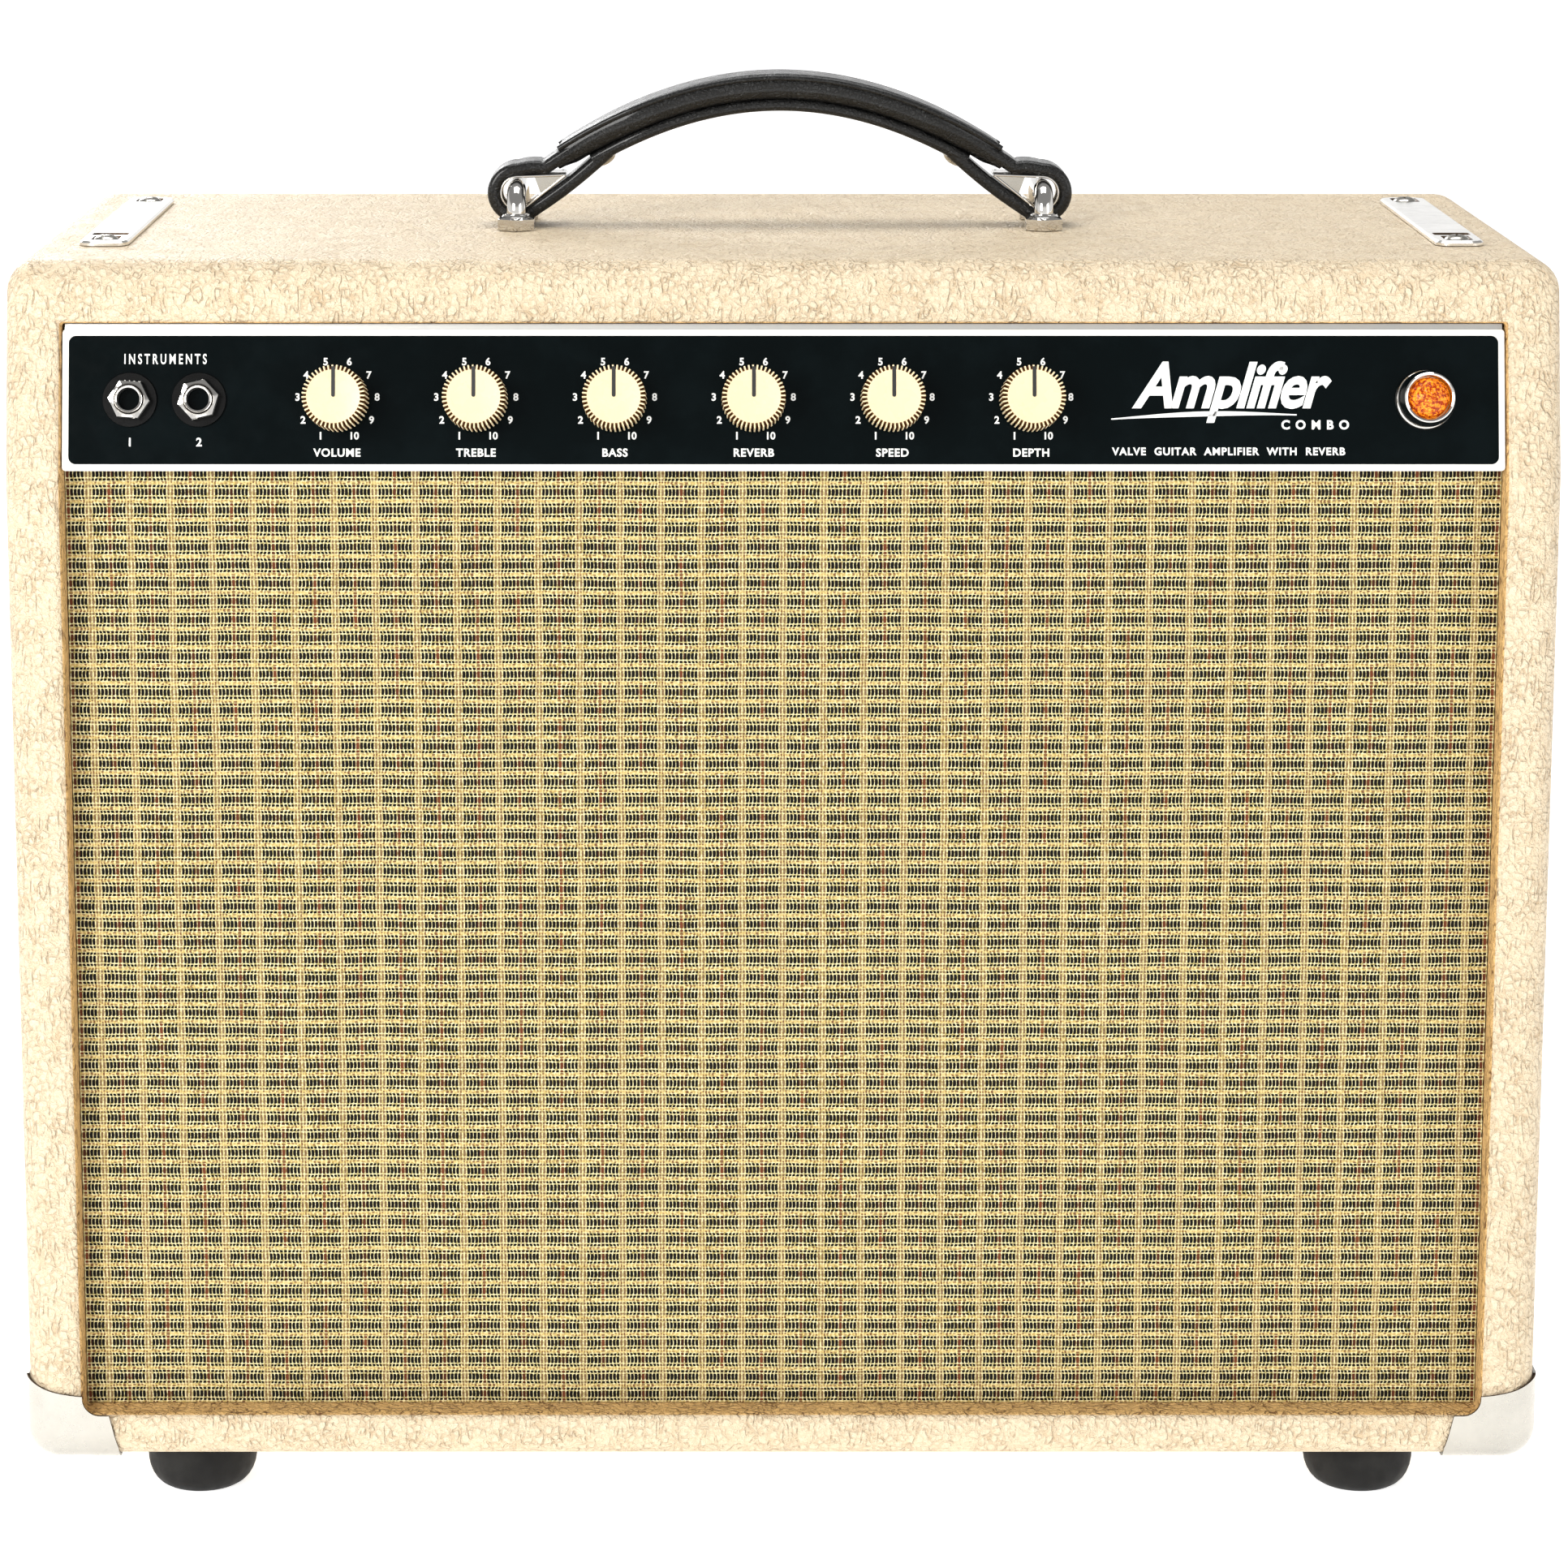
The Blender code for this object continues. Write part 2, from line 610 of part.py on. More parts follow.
def slope_y(z, n):
    """World y of the plane n behind the sloping face, at height z."""
    s = (z - KINK_Z + n * math.sin(TILT)) / math.cos(TILT)
    return FRONT_Y + s * math.sin(TILT) + n * math.cos(TILT)


tray = [
    (slope_y(CHASSIS_BOTTOM, CHASSIS_N), CHASSIS_BOTTOM),
    (slope_y(CHASSIS_TOP, CHASSIS_N), CHASSIS_TOP),
    (CHASSIS_BACK, CHASSIS_TOP),
    (CHASSIS_BACK, CHASSIS_BOTTOM),
]
chassis = finish("chassis", prism(tray, -CHASSIS_X, CHASSIS_X, "X"), STEEL)
deep = CHASSIS_N + CHASSIS_SHEET
low_z = CHASSIS_BOTTOM + CHASSIS_SHEET
high_z = CHASSIS_TOP - CHASSIS_SHEET
hollow = [
    (slope_y(low_z, deep), low_z),
    (slope_y(high_z, deep), high_z),
    (CHASSIS_BACK - CHASSIS_SHEET, high_z),
    (CHASSIS_BACK - CHASSIS_SHEET, low_z),
]
inside = finish("inside", prism(hollow, CHASSIS_SHEET - CHASSIS_X, CHASSIS_X - CHASSIS_SHEET, "X"), None)
mouth_low = (-0.212, slope_y(CHASSIS_TOP, deep) + 0.0002, high_z - 0.004)
mouth = finish("mouth", block(mouth_low, (0.212, CHASSIS_BACK - CHASSIS_SHEET, CHASSIS_TOP + 0.004)), None)
combine(chassis, [inside], "DIFFERENCE")
combine(chassis, [mouth], "DIFFERENCE")
drill(chassis, control_holes, 0.010, 16)
rear_holes = []
for x, radius in ((FUSE_X, 0.0063), (SWITCH_X, 0.0063), (SPEAKER_JACK_X, 0.0050)):
    rear_holes.append((back_frame(x, CHASSIS_BACK, REAR_ROW_Z), radius))
for side in (-1, 1):
    for y in (STRAP_Y[0] + BOLT_INSET, STRAP_Y[1] - BOLT_INSET):
        rear_holes.append((Matrix.Translation((side * STRAP_X, y, CHASSIS_TOP)), 0.0029))
drill(chassis, rear_holes, 0.005, 16)
window = block((-0.0142, -0.0104, -0.01), (0.0142, 0.0104, 0.01))
combine(chassis, [finish("window", window, None, back_frame(INLET_X, CHASSIS_BACK, REAR_ROW_Z))], "DIFFERENCE")

# The circuit board stands behind the front flange and carries one rotary control behind each knob.
place = slope_frame(0, CONTROL_S, PANEL_N[0])
control_board = finish("control_board", block((-0.160, -0.0160, -0.0151), (0.097, 0.0180, -0.0135)), BOARD, place)
pots = []
for x in knob_x:
    profile = (
        (0, -0.0143),
        (0.0085, -0.0143),
        (0.0085, -0.0040),
        (0.0046, -0.0040),
        (0.0046, -0.0003),
        (0.0034, -0.0003),
        (0.0034, -0.0118),
        (0, -0.0118),
    )
    pots.append(finish("pot", lathe(profile, 16), BOARD, slope_frame(x, CONTROL_S, PANEL_N[0])))
combine(control_board, pots, "UNION")

# Knobs: fluted barrels with a pointer groove, each with its own shaft.
for name, x in zip(KNOB_NAMES, knob_x):
    place = slope_frame(x, CONTROL_S, PANEL_N[0] - 0.0005)
    shape = bmesh.new()
    rings = []
    for height, radius in ((0.0, KNOB_RADIUS), (KNOB_HEIGHT, KNOB_RADIUS - 0.0004)):
        ring = []
        for k in range(2 * KNOB_TEETH):
            a = math.pi * k / KNOB_TEETH
            out = radius - (0.00045 if k % 2 else 0.0)
            ring.append(shape.verts.new((out * math.cos(a), out * math.sin(a), height)))
        rings.append(ring)
    for k in range(2 * KNOB_TEETH):
        m = (k + 1) % (2 * KNOB_TEETH)
        shape.faces.new((rings[0][k], rings[0][m], rings[1][m], rings[1][k]))
    shape.faces.new(rings[0])
    shape.faces.new(list(reversed(rings[1])))
    knob = finish(f"{name}_knob", shape, CREAM_PLASTIC, place)
    stem = lathe(((0, -0.0110), (SHAFT_RADIUS, -0.0110), (SHAFT_RADIUS, 0.003), (0, 0.003)), 12)
    combine(knob, [finish("stem", stem, CREAM_PLASTIC, place)], "UNION")
    groove = block((-0.0006, 0.0015, KNOB_HEIGHT - 0.0005), (0.0006, 0.012, KNOB_HEIGHT + 0.001))
    combine(knob, [finish("groove", groove, None, place)], "DIFFERENCE")


# ---------------------------------------------------------------- jacks, lamp and rear fittings
def jack(name, nut_name, place, wall):
    """A quarter-inch jack with its body behind the wall; a jack with no nut has a flange moulded on."""
    collar = 0.0085 if nut_name is None else 0.0046
    profile = (
        (0, -wall - 0.026),
        (0.0085, -wall - 0.026),
        (0.0085, -wall - GAP),
        (0.0046, -wall - GAP),
        (0.0046, GAP),
        (collar, GAP),
        (collar, 0.0026),
        (0.0046, 0.0030),
        (0.0046, 0.0052),
        (0.0042, 0.0056),
        (0.0036, 0.0052),
        (0.0036, -wall - 0.024),
        (0, -wall - 0.024),
    )
    finish(name, lathe(profile, 16), BLACK_PLASTIC, place, 40)
    if nut_name is None:
        return
    profile = (
        (0.0050, GAP),
        (0.00885, GAP),
        (0.00885, 0.0012),
        (0.0059, 0.0012),
        (0.0059, 0.0038),
        (0.0054, 0.0043),
        (0.0050, 0.0043),
    )
    finish(nut_name, lathe(profile, 24, (3, 4)), CHROME, place, 40)


panel_stack = PANEL_N[1] - PANEL_N[0] + GAP + CHASSIS_SHEET
for number, x in enumerate(JACK_X, 1):
    jack(f"input_jack_{number}", f"jack_nut_{number}", slope_frame(x, CONTROL_S, PANEL_N[0]), panel_stack)
jack("speaker_jack", None, back_frame(SPEAKER_JACK_X, CHASSIS_BACK, REAR_ROW_Z), CHASSIS_SHEET)

place = slope_frame(LAMP_X, CONTROL_S, PANEL_N[0])
profile = (
    (0, -0.028),
    (0.0068, -0.028),
    (0.0068, GAP),
    (0.0098, GAP),
    (0.0098, 0.0025),
    (0.0092, 0.0040),
    (0.0088, 0.0040),
    (0.0082, 0.0118),
    (0.0071, 0.0122),
    (0.0071, 0.0065),
    (0, 0.0065),
)
finish("pilot_lamp_holder", lathe(profile, 20), CHROME, place, 35)
profile = ((0, 0.0068), (0.0067, 0.0068), (0.0067, 0.0105), (0.0052, 0.0128), (0.0026, 0.0138), (0, 0.0140))
finish("pilot_jewel", lathe(profile, 16), JEWEL, place)

place = back_frame(INLET_X, CHASSIS_BACK, REAR_ROW_Z)
inlet = finish("power_inlet", block((-0.0138, -0.0100, -0.020), (0.0138, 0.0100, 0.0010)), BLACK_PLASTIC, place)
combine(inlet, [finish("flange", block((-0.0172, -0.0130, GAP), (0.0172, 0.0130, 0.0025)), None, place)], "UNION")
combine(inlet, [finish("recess", block((-0.0115, -0.0078, -0.0170), (0.0115, 0.0078, 0.01)), None, place)], "DIFFERENCE")
blades = []
for x, y in ((-0.0070, -0.0020), (0.0, 0.0025), (0.0070, -0.0020)):
    blades.append(finish("blade", block((x - 0.0010, y - 0.0020, -0.0175), (x + 0.0010, y + 0.0020, -0.0050)), None, place))
combine(inlet, blades, "UNION")

place = back_frame(FUSE_X, CHASSIS_BACK, REAR_ROW_Z)
profile = (
    (0, -0.030),
    (0.0060, -0.030),
    (0.0060, GAP),
    (0.0090, GAP),
    (0.0090, 0.0020),
    (0.0042, 0.0020),
    (0.0042, -0.026),
    (0, -0.026),
)
finish("fuse_holder", lathe(profile, 20), BLACK_PLASTIC, place, 40)
profile = ((0, -0.022), (0.0036, -0.022), (0.0036, 0.0024), (0.0068, 0.0024), (0.0068, 0.0092), (0.0058, 0.0102), (0, 0.0102))
cap = finish("fuse_cap", lathe(profile, 20), BLACK_PLASTIC, place, 40)
slot = block((-0.0070, -0.0005, 0.0090), (0.0070, 0.0005, 0.012))
combine(cap, [finish("slot", slot, None, place)], "DIFFERENCE")

place = back_frame(SWITCH_X, CHASSIS_BACK, REAR_ROW_Z)
body = finish("power_switch", block((-0.0070, -0.0130, -0.024), (0.0070, 0.0130, -0.0018)), BLACK_PLASTIC, place)
profile = (
    (0, -0.0040),
    (0.0058, -0.0040),
    (0.0058, 0.0003),
    (0.0080, 0.0003),
    (0.0080, 0.0024),
    (0.0058, 0.0024),
    (0.0058, 0.0085),
    (0, 0.0085),
)
combine(body, [finish("bushing", lathe(profile, 24, (3, 4)), STEEL, place)], "UNION")
profile = ((0, 0.0002), (0.0040, 0.0002), (0.0040, 0.0040), (0.0050, 0.0095), (0, 0.0095))
combine(body, [finish("bore", lathe(profile, 16), None, place)], "DIFFERENCE")
profile = (
    (0, -0.0028),
    (0.0020, -0.0020),
    (0.0028, 0.0000),
    (0.0020, 0.0018),
    (0.0020, 0.0045),
    (0.0030, 0.0110),
    (0.0020, 0.0128),
    (0, 0.0132),
)
pivot = place @ Matrix.Translation((0, 0, 0.0040)) @ Matrix.Rotation(math.radians(12.5), 4, "X")
finish("power_switch_lever", lathe(profile, 16), CHROME, pivot, 50)

# ---------------------------------------------------------------- speaker
place = front_frame(0, SPEAKER_Y, SPEAKER_Z)
profile = (
    (0.1270, 0.0000),
    (0.1270, -0.0030),
    (0.1190, -0.0030),
    (0.1190, -0.0105),
    (0.0560, -0.0605),
    (0.0560, -0.0645),
    (0.0200, -0.0645),
    (0.0200, -0.0620),
    (0.0540, -0.0620),
    (0.0540, -0.0592),
    (0.1150, -0.0100),
    (0.1150, 0.0000),
)
basket = finish("speaker_frame", lathe(profile, 32), STEEL, place, 30)
windows = []
for k in range(4):
    turn = Matrix.Rotation(math.radians(45 + 90 * k), 4, "Z")
    windows.append(finish("window", block((0.050, -0.034, -0.0520), (0.140, 0.034, -0.0150)), None, place @ turn))
combine(basket, windows, "DIFFERENCE")
profile = (
    (0, -0.0300),
    (0.0120, -0.0330),
    (0.0230, -0.0401),
    (0.1040, -0.0040),
    (0.1080, -0.0015),
    (0.1125, -0.0040),
    (0.1125, -0.0052),
    (0.1080, -0.0030),
    (0.1040, -0.0054),
    (0.0145, -0.0462),
    (0.0145, -0.0780),
    (0.0130, -0.0780),
    (0.0130, -0.0365),
    (0.0115, -0.0345),
    (0, -0.0312),
)
finish("speaker_cone", lathe(profile, 28), PAPER, place, 40)
profile = (
    (0, -0.0648),
    (0.0108, -0.0648),
    (0.0108, -0.0860),
    (0.0175, -0.0860),
    (0.0175, -0.0648),
    (0.0620, -0.0648),
    (0.0620, -0.0920),
    (0.0560, -0.0980),
    (0, -0.0980),
)
finish("speaker_magnet", lathe(profile, 28), MAGNET, place, 30)

# ---------------------------------------------------------------- under the chassis
def hung_box(name, centre_x, centre_y, size, skin, rounding):
    """A transformer hanging under the chassis."""
    low = (centre_x - size[0] / 2, centre_y - size[1] / 2, CHASSIS_BOTTOM - GAP - size[2])
    high = (centre_x + size[0] / 2, centre_y + size[1] / 2, CHASSIS_BOTTOM - GAP)
    core = finish(name, soften(block(low, high), 0.0015, 1), skin, None, 40)
    middle = (low[2] + high[2]) / 2
    plate_low = (low[0] - 0.008, low[1] + 0.008, high[2] - 0.0015)
    lip = finish("lip", block(plate_low, (high[0] + 0.008, high[1] - 0.008, high[2])), skin)
    bell_low = (low[0] + 0.010, low[1] - rounding, low[2] + 0.008)
    bell = soften(block(bell_low, (high[0] - 0.010, high[1] + rounding, high[2] - 0.008)), 0.006, 2)
    combine(core, [lip], "UNION")
    combine(core, [finish("bell", bell, skin)], "UNION")
    return middle


hung_box("power_transformer", 0.170, FRONT_Y + 0.112, (0.084, 0.040, 0.070), IRON, 0.017)
hung_box("output_transformer", -0.178, FRONT_Y + 0.105, (0.058, 0.026, 0.048), IRON, 0.012)

tank = finish("reverb_tank", block((-0.2120, FRONT_Y + 0.100, FLOOR_Z + GAP), (0.2120, FRONT_Y + 0.211, 0.0695)), STEEL)
hollow = block((-0.2105, FRONT_Y + 0.1015, FLOOR_Z - 0.01), (0.2105, FRONT_Y + 0.2095, 0.0680))
combine(tank, [finish("hollow", hollow, None)], "DIFFERENCE")

POWER_TUBE = (
    (0, 0.000),
    (0.0165, 0.000),
    (0.0165, 0.014),
    (0.0140, 0.016),
    (0.0145, 0.022),
    (0.0145, 0.060),
    (0.0115, 0.073),
    (0.0060, 0.080),
    (0, 0.082),
)
for number, x in enumerate((0.098, 0.052), 1):
    place = Matrix.Translation((x, FRONT_Y + 0.165, CHASSIS_BOTTOM - GAP)) @ Matrix.Rotation(math.pi, 4, "X")
    finish(f"power_tube_{number}", lathe(POWER_TUBE, 16), GLASS, place, 40)
SMALL_TUBE = (
    (0, 0.000),
    (0.0130, 0.000),
    (0.0130, 0.009),
    (0.0112, 0.010),
    (0.0112, 0.048),
    (0.0095, 0.052),
    (0.0040, 0.053),
    (0, 0.053),
)
for number, x in enumerate((-0.035, -0.090), 1):
    place = Matrix.Translation((x, FRONT_Y + 0.165, CHASSIS_BOTTOM - GAP)) @ Matrix.Rotation(math.pi, 4, "X")
    finish(f"preamp_tube_{number}", lathe(SMALL_TUBE, 16), STEEL, place, 40)
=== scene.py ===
import json
import math

import bmesh
import bpy
from mathutils import Matrix, Vector


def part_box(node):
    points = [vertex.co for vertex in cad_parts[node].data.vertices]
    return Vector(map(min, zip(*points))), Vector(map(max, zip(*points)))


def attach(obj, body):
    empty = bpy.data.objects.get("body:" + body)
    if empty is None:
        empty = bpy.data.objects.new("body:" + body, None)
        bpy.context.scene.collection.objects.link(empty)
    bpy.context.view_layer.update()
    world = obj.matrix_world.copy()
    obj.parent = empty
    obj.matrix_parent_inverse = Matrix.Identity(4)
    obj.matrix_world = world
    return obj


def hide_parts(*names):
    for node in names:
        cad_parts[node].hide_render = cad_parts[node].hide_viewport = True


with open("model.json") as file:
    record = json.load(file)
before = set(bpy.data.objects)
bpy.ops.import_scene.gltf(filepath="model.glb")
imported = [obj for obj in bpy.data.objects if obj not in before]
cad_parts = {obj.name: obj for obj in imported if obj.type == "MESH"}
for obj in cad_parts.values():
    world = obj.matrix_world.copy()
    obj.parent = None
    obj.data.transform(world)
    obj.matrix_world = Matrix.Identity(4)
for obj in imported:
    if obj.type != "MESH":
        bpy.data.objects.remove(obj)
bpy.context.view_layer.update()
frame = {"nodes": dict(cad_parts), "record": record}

MM = 0.001
joints = {j["name"]: j for j in frame["record"]["behaviour"]["joints"]}

# ------------------------------------------------------------------ sizes, read from the imported frame except the given edge radii and kink height
right_low, right_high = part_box("right_side_board")
top_low, top_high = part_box("top_board")
bottom_low, bottom_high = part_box("bottom_board")
cloth_low, cloth_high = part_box("grille_cloth")
OUT_X = right_high[0]
FRONT = bottom_low[1]
BACK = bottom_high[1]
LOW = bottom_low[2]
HIGH = top_high[2]
WALL = right_high[0] - right_low[0]
TOP_WALL = top_high[2] - top_low[2]
BOTTOM_WALL = bottom_high[2] - bottom_low[2]
EDGE = 10 * MM
INNER_EDGE = 3 * MM
normal = Vector(joints["volume_turn"]["axis"]).normalized()
TILT = math.asin(normal.z)
# Height at which the front starts to lean back.
KINK = 0.352
up_slope = Vector((0, math.sin(TILT), math.cos(TILT)))
panel_origin = Vector(joints["volume_turn"]["pos_m"])


# ------------------------------------------------------------------ node helper
class Nodes:
    """Small helper for building a material from maths on object coordinates."""

    def __init__(self, name):
        self.mat = bpy.data.materials.new(name)
        self.mat.use_nodes = True
        self.tree = self.mat.node_tree
        self.bsdf = self.tree.nodes["Principled BSDF"]
        self.coord = self.tree.nodes.new("ShaderNodeTexCoord").outputs["Object"]

    def put(self, socket, value):
        if isinstance(value, bpy.types.NodeSocket):
            self.tree.links.new(value, socket)
        elif value is not None:
            socket.default_value = value

    def set(self, **values):
        for key, value in values.items():
            socket = self.bsdf.inputs[key.replace("_", " ")]
            if isinstance(value, tuple) and len(value) == 3 and socket.type == "RGBA":
                value = (*value, 1.0)
            self.put(socket, value)
        return self

    def math(self, kind, a, b=None, c=None, clamp=False):
        node = self.tree.nodes.new("ShaderNodeMath")
        node.operation = kind
        node.use_clamp = clamp
        for socket, value in zip(node.inputs, (a, b, c)):
            self.put(socket, value)
        return node.outputs[0]

    def ramp(self, value, low, high, out_low=0.0, out_high=1.0, smooth=True):
        node = self.tree.nodes.new("ShaderNodeMapRange")
        node.interpolation_type = "SMOOTHSTEP" if smooth else "LINEAR"
        for key, item in zip(
            ("Value", "From Min", "From Max", "To Min", "To Max"), (value, low, high, out_low, out_high),
        ):
            self.put(node.inputs[key], item)
        return node.outputs[0]

    def noise(self, scale, detail=3.0, rough=0.55, vector=None):
        node = self.tree.nodes.new("ShaderNodeTexNoise")
        self.put(node.inputs["Vector"], vector or self.coord)
        node.inputs["Scale"].default_value = scale
        node.inputs["Detail"].default_value = detail
        node.inputs["Roughness"].default_value = rough
        return node

    def cells(self, scale, feature="DISTANCE_TO_EDGE", vector=None, random=1.0):
        node = self.tree.nodes.new("ShaderNodeTexVoronoi")
        node.feature = feature
        self.put(node.inputs["Vector"], vector or self.coord)
        node.inputs["Scale"].default_value = scale
        node.inputs["Randomness"].default_value = random
        return node.outputs["Distance"]

    def stretch(self, x=1.0, y=1.0, z=1.0, turn=(0, 0, 0), vector=None):
        node = self.tree.nodes.new("ShaderNodeMapping")
        self.put(node.inputs["Vector"], vector or self.coord)
        node.inputs["Scale"].default_value = (x, y, z)
        node.inputs["Rotation"].default_value = turn
        return node.outputs[0]

    def warp(self, scale, amount, vector=None):
        """Coordinates pushed about by noise."""
        base = vector or self.coord
        push = self.noise(scale, 2.0, 0.5, base).outputs["Color"]
        middle = self.tree.nodes.new("ShaderNodeVectorMath")
        middle.operation = "SUBTRACT"
        self.put(middle.inputs[0], push)
        middle.inputs[1].default_value = (0.5, 0.5, 0.5)
        grow = self.tree.nodes.new("ShaderNodeVectorMath")
        grow.operation = "MULTIPLY_ADD"
        self.put(grow.inputs[0], middle.outputs[0])
        grow.inputs[1].default_value = (amount, amount, amount)
        self.put(grow.inputs[2], base)
        return grow.outputs[0]

    def split(self, vector=None):
        node = self.tree.nodes.new("ShaderNodeSeparateXYZ")
        self.put(node.inputs[0], vector or self.coord)
        return node.outputs

    def mix(self, share, a, b):
        node = self.tree.nodes.new("ShaderNodeMix")
        node.data_type = "RGBA"
        for key, value in (("Factor", share), ("A", a), ("B", b)):
            socket = [s for s in node.inputs if s.name == key and s.type == ("VALUE" if key == "Factor" else "RGBA")][0]
            if isinstance(value, tuple):
                value = (*value, 1.0)
            self.put(socket, value)
        return [s for s in node.outputs if s.type == "RGBA"][0]

    def bump(self, height, depth, strength=1.0, under=None):
        node = self.tree.nodes.new("ShaderNodeBump")
        node.inputs["Strength"].default_value = strength
        node.inputs["Distance"].default_value = depth
        self.put(node.inputs["Height"], height)
        self.put(node.inputs["Normal"], under)
        return node.outputs[0]


# ------------------------------------------------------------------ materials
def vinyl_material(
    name="cream_vinyl", pale=(0.755, 0.640, 0.465), deep=(0.720, 0.600, 0.425), shade_colour=(0.45, 0.27, 0.115),
    crease_shade_amount=0.26,
):
    """Cream covering: soft leather pebbles of uneven depth, crossed by short slanting creases, with painted shade in
    the hollows between pebbles and along the creases.
    """
    n = Nodes(name)
    warped = n.warp(170, 0.0015)
    pebble = n.ramp(n.cells(350, vector=warped), 0.0, 0.24)
    small = n.ramp(n.cells(900, vector=warped), 0.0, 0.25)
    fine = n.noise(1600, 3.0, 0.6).outputs["Fac"]
    uneven = n.ramp(n.noise(120, 3.0, 0.6).outputs["Fac"], 0.35, 0.65, 0.45, 1.0)

    def creases(scale, turn, width, vary):
        """Short slanting lines where a stretched noise crosses its middle value, kept to patches."""
        field = n.noise(
            scale, 1.0, 0.4, n.stretch(1.0, 1.0, 0.30, turn, n.warp(scale * 0.5, 0.35 / scale)),
        ).outputs["Fac"]
        line = n.ramp(n.math("ABSOLUTE", n.math("SUBTRACT", field, 0.5)), 0.0, width, 1.0, 0.0)
        return n.math("MULTIPLY", line, n.ramp(n.noise(vary, 2.0, 0.6).outputs["Fac"], 0.42, 0.64))

    one = creases(300, (0.45, 0.55, 0.35), 0.050, 170)
    two = creases(340, (-0.5, -0.75, 0.6), 0.055, 210)
    line = n.math("MAXIMUM", one, two)
    height = n.math("ADD", n.math("MULTIPLY", pebble, uneven), n.math("MULTIPLY", small, 0.30))
    height = n.math("ADD", height, n.math("MULTIPLY", fine, 0.20))
    height = n.math("SUBTRACT", height, n.math("MULTIPLY", line, 0.9))
    # Painted shade: a darker colour in the hollows between pebbles and along the creases.
    painted_hollow_shade = n.math("MULTIPLY", n.math("SUBTRACT", 1.0, pebble), n.math("MULTIPLY", uneven, 0.30))
    painted_hollow_shade = n.math("ADD", painted_hollow_shade, n.math("MULTIPLY", n.math("SUBTRACT", 1.0, small), 0.05))
    painted_hollow_shade = n.math("ADD", painted_hollow_shade, n.math("MULTIPLY", line, crease_shade_amount), clamp=True)
    cream = n.mix(n.noise(12, 3.0).outputs["Fac"], deep, pale)
    rough = n.ramp(n.noise(90, 4.0).outputs["Fac"], 0.3, 0.7, 0.40, 0.54)
    n.set(Base_Color=n.mix(painted_hollow_shade, cream, shade_colour), Roughness=rough, Normal=n.bump(height, 0.00055, 1.0))
    n.set(Specular_IOR_Level=0.35)
    return n.mat


